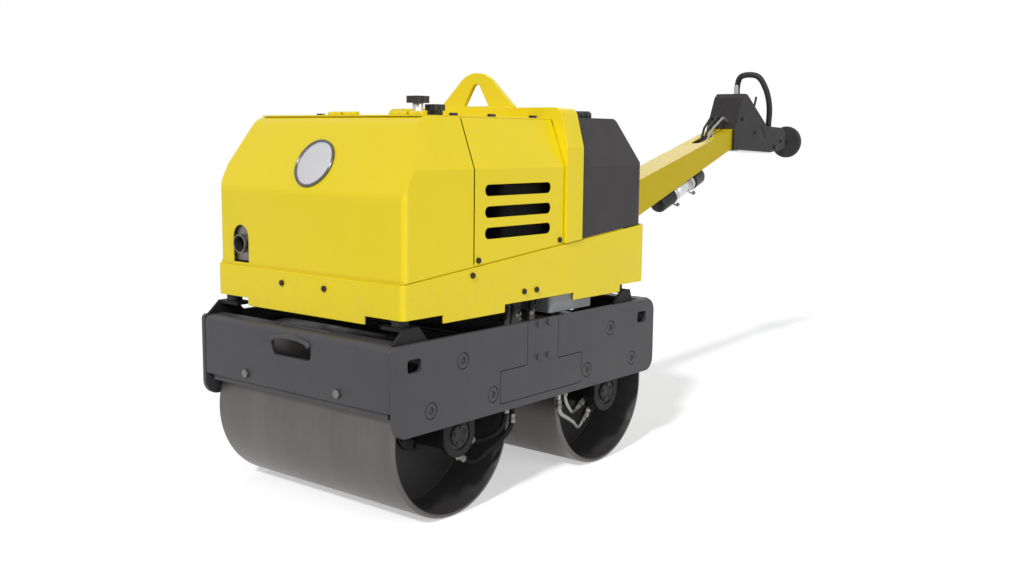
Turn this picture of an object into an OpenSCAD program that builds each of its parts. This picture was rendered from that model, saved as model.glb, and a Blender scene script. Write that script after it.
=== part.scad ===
// Walk-behind double drum vibratory roller, in millimetres.
// Z is up from the ground, X runs along the drum axles and the handle points to +Y.
// Sizes along Y are measured from the point midway between the drums, which lies at mid_y.

/* [Drums] */
// Outside diameter of a drum
drum_d = 420; // [400:5:430]
// Length of a drum
drum_w = 650; // [620:10:700]
// Thickness of the drum shell
drum_wall = 12; // [8:1:16]
// Distance between the two drum axles
wheelbase = 625; // [605:5:660]
// Distance from the end of a drum in to its web
web_inset = 150; // [140:5:180]
// Gap between the end of a drum and the arm that carries it
drum_gap = 3; // [2:1:6]

/* [Chassis] */
// Thickness of the side, front and rear plates
plate_t = 12; // [8:1:16]
// Thickness of the arms between a drum and its side plate
arm_t = 15; // [12:1:20]
// Height of the underside of the side plates
plate_low = 241; // [235:1:250]
// Height of the side plates from lower edge to upper edge
plate_h = 216; // [205:1:225]
// Distance from the front axle to the front face
front_reach = 233; // [228:1:250]
// Distance from the rear axle to the rear face
rear_reach = 226; // [222:1:250]
// Height of the corner posts above the side plates
post_h = 34; // [28:1:44]
// Height of the rubber buffers
buffer_h = 24; // [20:1:30]
// Diameter of the rubber buffers
buffer_d = 40; // [30:1:46]

/* [Body] */
// Thickness of the deck plate
deck_t = 8; // [5:1:10]
// Half width of the skirt
skirt_x = 340; // [336:1:350]
// Sheet thickness of the skirt
skirt_t = 4; // [3:0.5:6]
// Distance of the skirt's front face from the midpoint of the drums
skirt_front = 502; // [495:1:520]
// Distance of the skirt's rear face from the midpoint of the drums
skirt_rear = 500; // [495:1:510]
// Height of the skirt's upper edge at its front face
skirt_top = 589; // [580:1:600]
// Slope of the skirt's upper edge, in degrees
skirt_slope = 5; // [3:0.5:6]
// How far the skirt's lips hang below its lower edge
lip_h = 20; // [10:1:30]
// Sheet thickness of hood, side panels and roof
sheet_t = 3; // [2:0.5:4]
// Height of the fold in the side walls
kink_z = 847; // [830:1:860]
// Height of the upper edge of the side walls
top_z = 970; // [955:1:980]
// Height of the hoop above the side walls
roof_rise = 33; // [26:1:40]
// Gap at the seams between body panels
seam = 3; // [2:0.5:5]

/* [Handle] */
// Height of the handle pivot
pivot_z = 622; // [610:1:640]
// Distance of the handle pivot behind the skirt
pivot_back = 92; // [88:1:110]
// Width of the handle beam
beam_w = 100; // [90:1:106]
// Depth of the beam at the pivot
beam_root = 138; // [120:1:150]
// Depth of the beam at the control head
beam_tip = 69; // [60:1:76]
// Length of the handle beam from the pivot
beam_len = 1010; // [950:5:1050]
// Rise of the beam's axis, in degrees
beam_rise = 17.4; // [14:0.1:20]
// Width of the control head
head_w = 122; // [118:1:134]
// Diameter of the control loop's tube
loop_d = 21; // [16:1:24]
// Diameter of the crash button
button_d = 130; // [100:5:150]

/* [Hidden] */
$fn = 48;
cut = 1;              // overrun of every cut
touch = 0.3;          // clearance between pieces that nearly touch
run = 0.05;           // radial clearance of a shaft in its bore
far = wheelbase * 3;  // longer than any piece
// Drums and chassis
drum_r = drum_d / 2;
axle_y = wheelbase / 2;
drum_x = drum_w / 2;
arm_x = drum_x + drum_gap;
plate_x = arm_x + arm_t;
frame_x = plate_x + plate_t;
front_y = -axle_y - front_reach;
rear_y = axle_y + rear_reach;
plate_top = plate_low + plate_h;
web_x = drum_x - web_inset;
post_top = plate_top + post_h;
deck_z = post_top + buffer_h;
deck_top = deck_z + deck_t;
// The three places, about an axle, where an arm is bolted to the side plate
arm_bolts = [[-112, 81], [0, 183], [112, 81]];
arm_pad = 32;
arm_hub = 56;
plug_r = 21;
plug_deep = 5;
motor_r = 45;
motor_cap = 38;
motor_len = 120;
axle_r = 20;
axle_in = 60;
stub_r = 25;
socket_r = 46;
pipe_r = 6;
hose_r = 8;
bolt_m8 = 8;
bolt_m12 = 12;
// Vibration drive, with its belt on the left
exciter_z = 312;
exciter_r = 17;
housing_r = 42;
housing_wall = 18;
member_y = 75;
member_t = 10;
member_low = plate_low + 34;
member_top = plate_top - 8;
belt_x = 37 - plate_x;
belt_w = 12;
belt_t = 8;
exciter_pulley_r = 46;
crank_pulley_r = 60;
crank_y = -220;
case_h = 190;
crank_z = deck_top + case_h - 68;
crank_r = 20;
// Body
skirt_low = deck_z - deck_t + cut;
corner_r = 45;
edge_r = 14;          // radius of the upright corners of the skirt and the hood
panel_x = skirt_x - sheet_t;
lean = 46;            // how far the side walls lean in above their fold
hood_front = -skirt_front + 8;
hood_fold = 788;
hood_lean = 95;       // how far the hood's sloped front leans back
hood_split = -258;
panel_front = hood_split + seam * 2;
panel_rear = 104;
hoop_front = panel_rear + seam;
hoop_rear = hoop_front + 73;
hoop_x = panel_x + 8;
hoop_kink = 899;
hoop_lean = 28;
hoop_deep = 34;
roof_top = top_z + roof_rise;
roof_z = top_z + touch + sheet_t;
flange_x = 285;
flange_gap = 10;
tank_front = hoop_rear + seam;
tank_rear = 487;
tank_top = 978;
tank_kink = 832;
tank_lean = 77;
// Handle
pivot_y = skirt_rear + pivot_back;
pin_r = 15;
beam_x = beam_w / 2;
beam_taper = atan((beam_root - beam_tip) / 2 / beam_len);
head_x = head_w / 2;
head_y = pivot_y + beam_len * cos(beam_rise);
head_z = pivot_z + beam_len * sin(beam_rise);
head_len = 434;
head_wall = 4;
rod_r = 8;
rod_len = 130;
disc_t = 24;
button_y = head_y + head_len + rod_len + disc_t;
button_z = head_z - 10;
mid_y = -(front_y + button_y) / 2;

// Geometry helpers

// Points of an arc about c, with radius r, from angle a to angle b
function arc(c, r, a, b, n = 8) =
    [for (i = [0:n]) c + r * [cos(a + (b - a) * i / n), sin(a + (b - a) * i / n)]];

// Points that round the corner at q, between p and s, with radius r
function corner(p, q, s, r, n) =
    let (
        u = (p - q) / norm(p - q),
        v = (s - q) / norm(s - q),
        half = acos(u * v) / 2,
        c = q + (u + v) / norm(u + v) * r / sin(half),
        a = q + u * r / tan(half) - c,
        b = q + v * r / tan(half) - c,
        start = atan2(a.y, a.x),
        sweep = atan2(b.y, b.x) - start,
        turn = sweep > 180 ? sweep - 360 : sweep < -180 ? sweep + 360 : sweep
    )
    arc(c, r, start, start + turn, n);

// A closed outline with each corner rounded by its radius
function rounded(p, radii, n = 5) =
    let (m = len(p))
    [for (i = [0:m - 1]) each radii[i] > 0
        ? corner(p[(i + m - 1) % m], p[i], p[(i + 1) % m], radii[i], n)
        : [p[i]]];

// A rectangle from corner a to corner b, rounded by r
function box_outline(a, b, r, n = 5) =
    rounded([a, [b.x, a.y], b, [a.x, b.y]], [r, r, r, r], n);

// An outline moved inwards by g; its points run anticlockwise
function inset(p, g) =
    let (m = len(p))
    [for (i = [0:m - 1])
        let (
            a = p[(i + m - 1) % m],
            b = p[(i + 1) % m],
            u = (p[i] - a) / norm(p[i] - a),
            v = (b - p[i]) / norm(b - p[i]),
            s = [-u.y, u.x],
            t = [-v.y, v.x]
        )
        p[i] + g * (s + t) / (1 + s * t)];

// The right half of an outline and its mirror image, as one closed outline
function mirrored(half) =
    concat(half, [for (i = [len(half) - 1:-1:0]) [-half[i].x, half[i].y]]);

// Points turned about the origin
function turned(p, a) = [for (q = p) [q.x * cos(a) - q.y * sin(a), q.x * sin(a) + q.y * cos(a)]];

// Everything is drawn about the midpoint of the drums and then moved to its place
module placed() {
    translate([0, mid_y, 0]) children();
}

// The drawn piece and its mirror image across the machine
module both_sides() {
    children();
    mirror([1, 0, 0]) children();
}

// The drawn piece at the rear axle and its mirror image at the front axle
module both_axles() {
    translate([0, axle_y, 0]) children();
    mirror([0, 1, 0]) translate([0, axle_y, 0]) children();
}

// The piece drawn at the rear plate and its mirror image at the front plate
module both_ends() {
    children();
    mirror([0, 1, 0]) translate([0, front_reach - rear_reach, 0]) children();
}

// The drawn piece moved to +y and to -y
module both_ways(y) {
    for (s = [-1, 1]) translate([0, s * y, 0]) children();
}

// A slab whose outline is in (y, z), from x towards +X
module side_slab(x, t, outline) {
    translate([x, 0, 0]) rotate([90, 0, 90]) linear_extrude(t) polygon(outline);
}

// A slab whose outline is in (x, z), from y towards +Y
module front_slab(y, t, outline) {
    translate([0, y + t, 0]) rotate([90, 0, 0]) linear_extrude(t) polygon(outline);
}

// The space shared by three outlines: seen from the front, from the side and from above
module block(front, side, plan) {
    intersection() {
        front_slab(-far, far * 2, front);
        side_slab(-far, far * 2, side);
        linear_extrude(far) polygon(plan);
    }
}

// A rod along X between two places
module rod_x(a, b, r) {
    translate([a, 0, 0]) rotate([0, 90, 0]) cylinder(h = b - a, r = r);
}

// A rod along Y between two places
module rod_y(a, b, r) {
    translate([0, a, 0]) rotate([-90, 0, 0]) cylinder(h = b - a, r = r);
}

// A box from its lowest corner to its highest corner
module span(a, b) {
    translate(a) cube(b - a);
}

// A body turned about X; its outline is in (radius, x)
module turned_x(outline) {
    rotate([0, 90, 0]) rotate_extrude() polygon(outline);
}

// A hexagonal bolt head on z = 0 with its shank below
module bolt(d, shank) {
    head_share = 0.65;
    wide_share = 0.95;
    cylinder(h = d * head_share, r = d * wide_share, $fn = 6);
    translate([0, 0, -shank]) cylinder(h = shank + touch, r = d / 2 - touch);
}

// The direction of a route at its point i
function ahead(p, i) =
    let (a = p[max(i - 1, 0)], b = p[min(i + 1, len(p) - 1)])
    (b - a) / norm(b - a);

// The direction of a closed route at its point i
function round_ahead(p, i) =
    let (m = len(p), a = p[(i + m - 1) % m], b = p[(i + 1) % m])
    (b - a) / norm(b - a);

// A tube of radius r along the points p; its ends are closed, or joined in a loop
module tube(p, r, guide, sides = 10, loop = false) {
    n = len(p);
    rings = [for (i = [0:n - 1])
        let (
            t = loop ? round_ahead(p, i) : ahead(p, i),
            s = cross(t, guide) / norm(cross(t, guide)),
            u = cross(t, s)
        )
        each [for (k = [0:sides - 1])
            p[i] + r * (cos(360 * k / sides) * s + sin(360 * k / sides) * u)]];
    walls = [for (i = [0:(loop ? n - 1 : n - 2)], k = [0:sides - 1])
        let (a = i * sides, b = (i + 1) % n * sides, l = (k + 1) % sides)
        each [[a + k, b + k, b + l], [a + k, b + l, a + l]]];
    caps = loop ? [] : [
        [for (k = [0:sides - 1]) k],
        [for (k = [sides - 1:-1:0]) (n - 1) * sides + k]
    ];
    polyhedron(rings, concat(walls, caps), convexity = 4);
}

// An open route with its inner corners rounded by radius r
function bend(p, r, n = 4) =
    concat([p[0]], [for (i = [1:len(p) - 2])
        let (
            u = (p[i - 1] - p[i]) / norm(p[i - 1] - p[i]),
            v = (p[i + 1] - p[i]) / norm(p[i + 1] - p[i]),
            half = acos(u * v) / 2,
            c = p[i] + (u + v) / norm(u + v) * r / sin(half),
            a = p[i] + u * r / tan(half) - c,
            b = p[i] + v * r / tan(half) - c,
            full = acos(a * b / (r * r))
        )
        each [for (k = [0:n])
            c + (sin(full * (n - k) / n) * a + sin(full * k / n) * b) / sin(full)]],
        [p[len(p) - 1]]);

// Chassis plates

hole_w = 45;
hole_h = 32;
hole_edge = 43;
hole_up = 149;
foot_r = 38;
cover_low = 21;
cover_step = 103;
cover_wide = 172;
cover_narrow = 64;
cover_gap = 2;
cover_bolts = [[21, 119], [21, 205]];

// The stepped outline of the cover over the vibration drive, grown by g
function cover_outline(g) =
    let (
        low = plate_low + cover_low - g,
        step = plate_low + cover_step + g,
        wide = cover_wide + g,
        narrow = cover_narrow + g,
        r = cover_gap * 2
    )
    rounded(mirrored([[wide, low], [wide, step], [narrow, step], [narrow, plate_top + g]]),
        [r, r, r, 0, 0, r, r, r]);

module side_plate() {
    outline = rounded(
        [[front_y, plate_low], [rear_y, plate_low], [rear_y, plate_top], [front_y, plate_top]],
        [foot_r, foot_r, foot_r, plate_t]);
    difference() {
        side_slab(plate_x, plate_t, outline);
        side_slab(plate_x - cut, plate_t + cut * 2, cover_outline(cover_gap));
        for (y = [front_y + hole_edge, rear_y - hole_edge - hole_w])
            side_slab(plate_x - cut, plate_t + cut * 2, box_outline(
                [y, plate_low + hole_up],
                [y + hole_w, plate_low + hole_up + hole_h],
                hole_h / 4));
        both_axles()
            for (b = arm_bolts)
                translate([0, b.x, drum_r + b.y]) {
                    rod_x(frame_x - plug_deep, frame_x + cut, plug_r);
                    rod_x(plate_x - cut, frame_x, plug_r / 2);
                }
    }
}

module side_plate_right() {
    color("dimgray") placed() side_plate();
}

module side_plate_left() {
    color("dimgray") placed() mirror([1, 0, 0]) side_plate();
}

// The end plate is a wall with a rounded top bend and a top flange
module end_plate() {
    wall_low = plate_low + 60;
    flange = 62;
    bend_r = 18;
    grip_x = 72;
    grip_z = plate_low + 147;
    grip_h = 44;
    section = rounded([
        [0, wall_low],
        [plate_t, wall_low],
        [plate_t, plate_top - plate_t],
        [flange, plate_top - plate_t],
        [flange, plate_top],
        [0, plate_top]
    ], [0, 0, plate_t / 2, 0, 0, bend_r]);
    difference() {
        side_slab(-plate_x, plate_x * 2, section);
        front_slab(-cut, plate_t + cut * 2, box_outline(
            [-grip_x, grip_z], [grip_x, grip_z + grip_h], grip_h / 3));
        translate([0, 0, plate_top - plate_t - cut])
            linear_extrude(plate_t + cut * 2)
                polygon(box_outline(
                    [-grip_x - bend_r, bend_r + plate_t],
                    [grip_x + bend_r, flange - plate_t],
                    plate_t / 2));
    }
}

module front_plate() {
    color("dimgray") placed() translate([0, front_y, 0]) end_plate();
}

module rear_plate() {
    color("dimgray") placed() translate([0, rear_y, 0]) rotate([0, 0, 180]) end_plate();
}

// The beam between the side plates is open below and holds the vibration shaft
module crossmember() {
    bay_x = belt_x + belt_w * 2;
    wall_y = member_y - member_t;
    color("dimgray") placed() difference() {
        union() {
            for (y = [-member_y, wall_y])
                span([-plate_x, y, member_low], [plate_x, y + member_t, member_top]);
            span([-plate_x, -member_y, member_top - member_t], [plate_x, member_y, member_top]);
            for (x = [-plate_x, bay_x, plate_x - member_t])
                span([x, -member_y, member_low], [x + member_t, member_y, member_top]);
            translate([0, 0, exciter_z]) {
                rod_x(bay_x, plate_x, housing_r + housing_wall);
                rod_x(-plate_x, member_t - plate_x, housing_r + housing_wall);
            }
        }
        translate([0, 0, exciter_z]) rod_x(-plate_x - cut, plate_x + cut, housing_r);
        span([belt_x - belt_w, -member_y - cut, exciter_z - exciter_r],
            [bay_x - member_t / 2, wall_y, member_top + cut]);
        both_sides()
            for (b = cover_bolts)
                both_ways(b.x)
                    translate([0, 0, plate_low + b.y])
                        rod_x(plate_x - member_t, plate_x + cut, bolt_m8 / 2);
    }
}

module access_covers() {
    color("dimgray") placed() both_sides() difference() {
        side_slab(plate_x, plate_t, cover_outline(0));
        for (b = cover_bolts)
            both_ways(b.x)
                translate([0, 0, plate_low + b.y]) rod_x(plate_x - cut, frame_x + cut, bolt_m8 / 2);
    }
}

// A recessed socket screw that holds a drum arm
module arm_screw() {
    head_r = plug_r - plug_deep / 2;
    difference() {
        union() {
            rod_x(frame_x - plug_deep, frame_x - cut, head_r);
            rod_x(plate_x - arm_t / 2, frame_x - plug_deep, plug_r / 2 - touch);
        }
        rod_x(frame_x - plug_deep + cut, frame_x, head_r / 2);
    }
}

module chassis_bolts() {
    end_x = 170;
    end_up = 84;
    color("silver") placed() {
        for (x = [-end_x, end_x]) {
            translate([x, front_y, plate_low + end_up]) rotate([90, 0, 0]) bolt(bolt_m12, 0);
            translate([x, rear_y, plate_low + end_up]) rotate([-90, 0, 0]) bolt(bolt_m12, 0);
        }
        both_sides() {
            for (b = cover_bolts)
                both_ways(b.x)
                    translate([frame_x, 0, plate_low + b.y])
                        rotate([0, 90, 0]) bolt(bolt_m8, plate_t + member_t / 2);
            both_axles()
                for (b = arm_bolts)
                    translate([0, b.x, drum_r + b.y]) arm_screw();
        }
    }
}

// Drum carriers and drive

// The arm's outline about its axle: a round hub below three bolt pads
arm_outline = concat(
    arc(arm_bolts[2], arm_pad, -90, 60, 7),
    arc(arm_bolts[1], arm_pad, 60, 120, 4),
    arc(arm_bolts[0], arm_pad, 120, 270, 7),
    [[-arm_hub, arm_bolts[0].y - arm_pad]],
    arc([0, 0], arm_hub, 180, 360, 18),
    [[arm_hub, arm_bolts[2].y - arm_pad]]);

module drum_arms() {
    color("dimgray") placed() both_sides() both_axles()
        translate([0, 0, drum_r]) difference() {
            side_slab(arm_x, arm_t, arm_outline);
            rod_x(arm_x - cut, plate_x + cut, motor_cap + touch);
            for (b = arm_bolts)
                translate([0, b.x, b.y]) rod_x(plate_x - arm_t / 2, plate_x + cut, plug_r / 2);
        }
}

port_x = arm_x - 28;
ports = [[-24, -45], [-46, -20]];

// Wheel motors on the right, each with a flange, a stepped body, an end cap and two ports
module drive_motors() {
    step = 10;
    port_r = 11;
    end_x = arm_x - motor_len;
    cap_x = plate_x - drum_gap;
    color("dimgray") placed() both_axles() translate([0, 0, drum_r]) difference() {
        union() {
            turned_x([
                [0, end_x],
                [motor_r - step, end_x],
                [motor_r, end_x + step],
                [motor_r, arm_x - step],
                [arm_hub - step, arm_x - step],
                [arm_hub - step, arm_x],
                [motor_cap, arm_x],
                [motor_cap, cap_x - cut],
                [motor_cap - cut, cap_x],
                [0, cap_x]
            ]);
            for (p = ports)
                translate([port_x, 0, 0]) rotate([atan2(p.y, p.x) - 90, 0, 0])
                    cylinder(h = norm(p), r = port_r);
        }
        rod_x(end_x - cut, end_x + axle_in + cut, axle_r + run);
    }
}

// Routes of the two steel pipes of the rear motor, about its axle
pipe_x = arm_x + pipe_r;
pipe_end = plate_low + 170 - drum_r;
pipe_routes = [
    [
        [port_x, -24, -45], [port_x, -34, -63], [port_x + pipe_r, -84, -100],
        [pipe_x, -150, -60], [pipe_x, -213, -25], [pipe_x, -213, pipe_end]
    ],
    [
        [port_x, -46, -20], [port_x, -64, -28], [port_x + pipe_r, -112, -48],
        [pipe_x, -160, -30], [pipe_x, -187, 5], [pipe_x, -187, pipe_end]
    ]
];

module motor_pipes() {
    nut_h = 16;
    seat_share = 0.01;
    color("silver") placed() both_axles() translate([0, 0, drum_r])
        for (p = pipe_routes) {
            start = p[0] + (p[1] - p[0]) * seat_share;
            tube(bend(concat([start], [for (i = [1:len(p) - 1]) p[i]]), pipe_r * 1.5),
                pipe_r, [1, 0, 0.2], 8);
            translate([pipe_x, p[5].y, pipe_end - nut_h])
                cylinder(h = nut_h, r = hose_r, $fn = 6);
        }
}

// Fixed axle stubs on the left, each with a flange that closes its arm's bore
module axle_stubs() {
    flange_r = arm_hub - plate_t;
    color("dimgray") placed() both_axles() translate([0, 0, drum_r]) turned_x([
        [0, -plate_x + drum_gap],
        [motor_cap, -plate_x + drum_gap],
        [motor_cap, -arm_x],
        [flange_r, -arm_x],
        [flange_r, -arm_x + plate_t],
        [stub_r, -arm_x + plate_t],
        [stub_r, -web_x + plate_t],
        [0, -web_x + plate_t]
    ]);
}

// A drum shell with rounded shoulders and two webs
module drum() {
    shoulder = drum_wall * 0.75;
    inner = drum_r - drum_wall;
    turned_x(concat(
        arc([drum_r - shoulder, drum_x - shoulder], shoulder, 90, 0, 5),
        arc([drum_r - shoulder, shoulder - drum_x], shoulder, 0, -90, 5),
        [
            [inner, -drum_x],
            [inner, -web_x - plate_t],
            [socket_r, -web_x - plate_t],
            [socket_r, -web_x],
            [inner, -web_x],
            [inner, web_x],
            [socket_r, web_x],
            [socket_r, web_x + plate_t],
            [inner, web_x + plate_t],
            [inner, drum_x]
        ]));
}

// The driven hub on the right and the bearing hub on the left
module drum_hubs() {
    spigot = socket_r - run;
    flange_r = socket_r + 22;
    out = web_x + plate_t;
    collar = 10;
    tip = arm_x - motor_len + axle_in;
    turned_x([
        [0, web_x],
        [spigot, web_x],
        [spigot, out],
        [flange_r, out],
        [flange_r, out + collar],
        [axle_r, out + collar],
        [axle_r, tip],
        [0, tip]
    ]);
    turned_x([
        [stub_r + run, -web_x],
        [spigot, -web_x],
        [spigot, -out],
        [flange_r, -out],
        [flange_r, -out - collar],
        [spigot, -out - collar],
        [spigot, -out - collar * 2],
        [stub_r + run, -out - collar * 2]
    ]);
    for (s = [-1, 1], a = [0:60:300])
        translate([s * (out + collar), 0, 0])
            rotate([a, 0, 0])
                translate([0, 0, socket_r + collar])
                    rotate([0, s * 90, 0]) bolt(bolt_m8, collar / 2);
}

module front_drum() {
    color("darkgray") placed() translate([0, -axle_y, drum_r]) drum();
}

module rear_drum() {
    color("darkgray") placed() translate([0, axle_y, drum_r]) drum();
}

module front_hubs() {
    color("gray") placed() translate([0, -axle_y, drum_r]) drum_hubs();
}

module rear_hubs() {
    color("gray") placed() translate([0, axle_y, drum_r]) drum_hubs();
}

// Scrapers and water spray

holder_t = 6;
holder_low = 285;
holder_h = 50;

// Holder bars on the inner faces of the end plates
module scraper_holders() {
    end_gap = 20;
    color("dimgray") placed() both_ends()
        span([-plate_x + end_gap, rear_y - plate_t - holder_t, holder_low],
            [plate_x - end_gap, rear_y - plate_t, holder_low + holder_h]);
}

// Rubber blades that wipe the drums, held by the bars
module scraper_blades() {
    blade_t = 5;
    blade_angle = 22;
    scrape_gap = 1;
    grip = 22;
    tip = [axle_y, drum_r] + (drum_r + scrape_gap) * [cos(blade_angle), sin(blade_angle)];
    color("black") placed() for (s = [0, 1])
        mirror([0, s, 0]) {
            wall = rear_y - plate_t - holder_t + s * (front_reach - rear_reach);
            root = [wall, holder_low + grip];
            side_slab(-drum_x, drum_w, [
                tip,
                root,
                root + [0, grip],
                root + [-blade_t, grip],
                root + [-blade_t, blade_t],
                tip + [-blade_t / 4, blade_t]
            ]);
        }
}

module spray_bars() {
    bar_r = 9;
    bar_y = axle_y - 118;
    bar_z = plate_top - 26;
    nozzle_r = 5;
    nozzle_h = 16;
    nozzles = 6;
    color("black") placed() both_ways(bar_y) translate([0, 0, bar_z]) {
        rod_x(-plate_x, plate_x, bar_r);
        for (i = [0:nozzles - 1])
            translate([drum_w * (i + 0.5) / nozzles - drum_x, 0, -nozzle_h])
                cylinder(h = nozzle_h, r = nozzle_r);
    }
}

// Posts and buffers, the front pair first

post_t = 8;
post_grip = 30;
post_deep = 78;
post_y = [-476, 405];
post_tongue = [[-478, -430], [352, 431]];
post_foot = [[-538, -423], [346, 437]];
post_head = [[-500, -452], [384, 426]];

// A folded corner post: a tapered side bolted inside the side plate, and a top flange
module corner_post(tongue, foot, head) {
    rest = plate_top + touch;
    side_slab(plate_x - post_t, post_t, [
        [tongue[0], plate_top - post_grip],
        [tongue[1], plate_top - post_grip],
        [tongue[1], rest],
        [foot[1], rest],
        [head[1], post_top],
        [head[0], post_top],
        [foot[0], rest],
        [tongue[0], rest]
    ]);
    span([plate_x - post_deep, head[0], post_top - post_t], [plate_x, head[1], post_top]);
}

module corner_posts() {
    color("dimgray") placed() both_sides()
        for (i = [0, 1]) corner_post(post_tongue[i], post_foot[i], post_head[i]);
}

module buffers() {
    color("black") placed() both_sides()
        for (y = post_y)
            translate([plate_x - post_t - buffer_d * 0.75, y, post_top])
                cylinder(h = buffer_h, d = buffer_d);
}

// Vibration drive

// A shaft with a half-round weight below its axis
module exciter_shaft() {
    weight_r = housing_r - 4;
    weight_a = -150;
    weight_b = 200;
    color("gray") placed() translate([0, 0, exciter_z]) {
        rod_x(belt_x - belt_w, plate_x - plate_t, exciter_r);
        difference() {
            rod_x(weight_a, weight_b, weight_r);
            span([weight_a - cut, -housing_r, exciter_r / 2], [weight_b + cut, housing_r, housing_r]);
        }
    }
}

// A grooved pulley of groove radius r, its groove centred on x = belt_x
module pulley(r, bore) {
    side = 4;
    half = belt_w / 2 + touch * 2;
    turned_x([
        [bore, belt_x - half - side],
        [r + belt_t, belt_x - half - side],
        [r + belt_t, belt_x - half],
        [r, belt_x - half + touch],
        [r, belt_x + half - touch],
        [r + belt_t, belt_x + half],
        [r + belt_t, belt_x + half + side],
        [bore, belt_x + half + side]
    ]);
}

module exciter_pulley() {
    color("gray") placed() translate([0, 0, exciter_z]) pulley(exciter_pulley_r, exciter_r + run);
}

module exciter_bearings() {
    race_w = 24;
    race_in = 53;
    race_x = [belt_x + belt_w * 3, plate_x - race_in];
    color("silver") placed() translate([0, 0, exciter_z])
        for (x = race_x)
            difference() {
                rod_x(x, x + race_w, housing_r - run);
                rod_x(x - cut, x + race_w + cut, exciter_r + run);
            }
}

// The belt's outline round both pulleys, at distance g outside their grooves
function belt_outline(g) =
    let (
        d = [crank_y, crank_z - exciter_z],
        rise = atan2(d.y, d.x),
        wrap = acos((exciter_pulley_r - crank_pulley_r) / norm(d))
    )
    concat(
        arc([0, exciter_z], exciter_pulley_r + g, rise + wrap, rise + 360 - wrap, 28),
        arc([crank_y, crank_z], crank_pulley_r + g, rise - wrap, rise + wrap, 28));

module drive_belt() {
    color("black") placed() difference() {
        side_slab(belt_x - belt_w / 2, belt_w, belt_outline(belt_t));
        side_slab(belt_x - belt_w / 2 - cut, belt_w + cut * 2, belt_outline(touch));
    }
}

// Deck and what stands on it

// The skirt's outline seen from above, moved inwards by g
function skirt_plan(g) =
    box_outline([-skirt_x + g, -skirt_front + g], [skirt_x - g, skirt_rear - g], edge_r - g);

module deck() {
    slot_x = belt_w * 1.5;
    slot_y = [-250, -30];
    gusset_x = 100;
    gusset_h = 130;
    gusset_y = skirt_rear - skirt_t - touch - deck_t;
    color("dimgray") placed() {
        difference() {
            translate([0, 0, deck_z])
                linear_extrude(deck_t) polygon(skirt_plan(skirt_t + touch));
            span([belt_x - slot_x, slot_y[0], deck_z - cut],
                [belt_x + slot_x, slot_y[1], deck_top + cut]);
        }
        span([-gusset_x, gusset_y, deck_z], [gusset_x, gusset_y + deck_t, deck_top + gusset_h]);
    }
}

oil_low = plate_top + 5;

module oil_tank() {
    front = 60;
    rear = 250;
    side = plate_x - 11;
    color("lightgray") placed() translate([0, 0, oil_low])
        linear_extrude(deck_z - oil_low)
            polygon(box_outline([-plate_x / 2, front], [side, rear], plate_t));
}

case_x = [-150, 110];
case_y = [-350, -110];
pump_end = 220;
pump_r = 62;

// Hoses: from the rear motor's pipes to the oil tank, from the front motor's pipes to the
// deck, and from the deck to the pump
module hoses() {
    start = drum_r + pipe_end;
    rise = 34;
    step_x = 26;
    gap = 26;
    front_y0 = -axle_y - pipe_routes[0][5].y;
    color("black") placed() {
        for (p = pipe_routes)
            let (y = axle_y + p[5].y)
                tube(bend([
                    [pipe_x, y, start],
                    [pipe_x, y, start + rise / 2],
                    [pipe_x - step_x, y, start + rise],
                    [pipe_x - step_x, y, oil_low]
                ], hose_r), hose_r, [0, 1, 0]);
        for (y = [front_y0, front_y0 - gap])
            tube(bend([
                [pipe_x, y, start],
                [pipe_x, y, plate_top],
                [pipe_x - step_x, y + rise, plate_top + rise],
                [pipe_x - step_x, y + rise, deck_z]
            ], hose_r * 1.2), hose_r, [1, 0, 0.1]);
        for (s = [-1, 1])
            translate([case_x[1] + gap, crank_y + s * gap, deck_top])
                cylinder(h = crank_z - sqrt(pow(pump_r, 2) - pow(gap - hose_r, 2)) - deck_top - touch,
                    r = hose_r);
    }
}

// Engine: a crankcase and a finned cylinder
module engine_block() {
    bore_x = 80;
    bore_y = [-305, -145];
    fins = 6;
    fin_t = 5;
    fin_out = 14;
    cylinder_h = 190;
    color("dimgray") placed() difference() {
        union() {
            translate([0, 0, deck_top]) linear_extrude(case_h)
                polygon(box_outline([case_x[0], case_y[0]], [case_x[1], case_y[1]], plate_t));
            translate([0, 0, deck_top + case_h]) linear_extrude(cylinder_h)
                polygon(box_outline([-bore_x, bore_y[0]], [bore_x, bore_y[1]], plate_t));
            for (i = [0:fins - 1])
                translate([0, 0, deck_top + case_h + cylinder_h * (i + 0.5) / fins])
                    linear_extrude(fin_t)
                        polygon(box_outline([-bore_x - fin_out, bore_y[0] - fin_out],
                            [bore_x + fin_out, bore_y[1] + fin_out], plate_t));
        }
        translate([0, crank_y, crank_z]) rod_x(case_x[0] - cut, case_x[1] + cut, crank_r + run);
    }
}

// The crankshaft with its flywheel
module crankshaft() {
    flywheel_r = 100;
    flywheel_x = case_x[0] - 40;
    flywheel_w = 26;
    color("gray") placed() translate([0, crank_y, crank_z]) {
        rod_x(belt_x - belt_w, case_x[1] + pump_r, crank_r);
        rod_x(flywheel_x, flywheel_x + flywheel_w, flywheel_r);
    }
}

module crank_pulley() {
    color("gray") placed() translate([0, crank_y, crank_z]) pulley(crank_pulley_r, crank_r + run);
}

module oil_pump() {
    color("dimgray") placed() translate([0, crank_y, crank_z]) difference() {
        rod_x(case_x[1], pump_end, pump_r);
        rod_x(case_x[1] - cut, case_x[1] + pump_r + cut, crank_r + run);
    }
}

exhaust_x = -250;
exhaust_z = 645;

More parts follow.
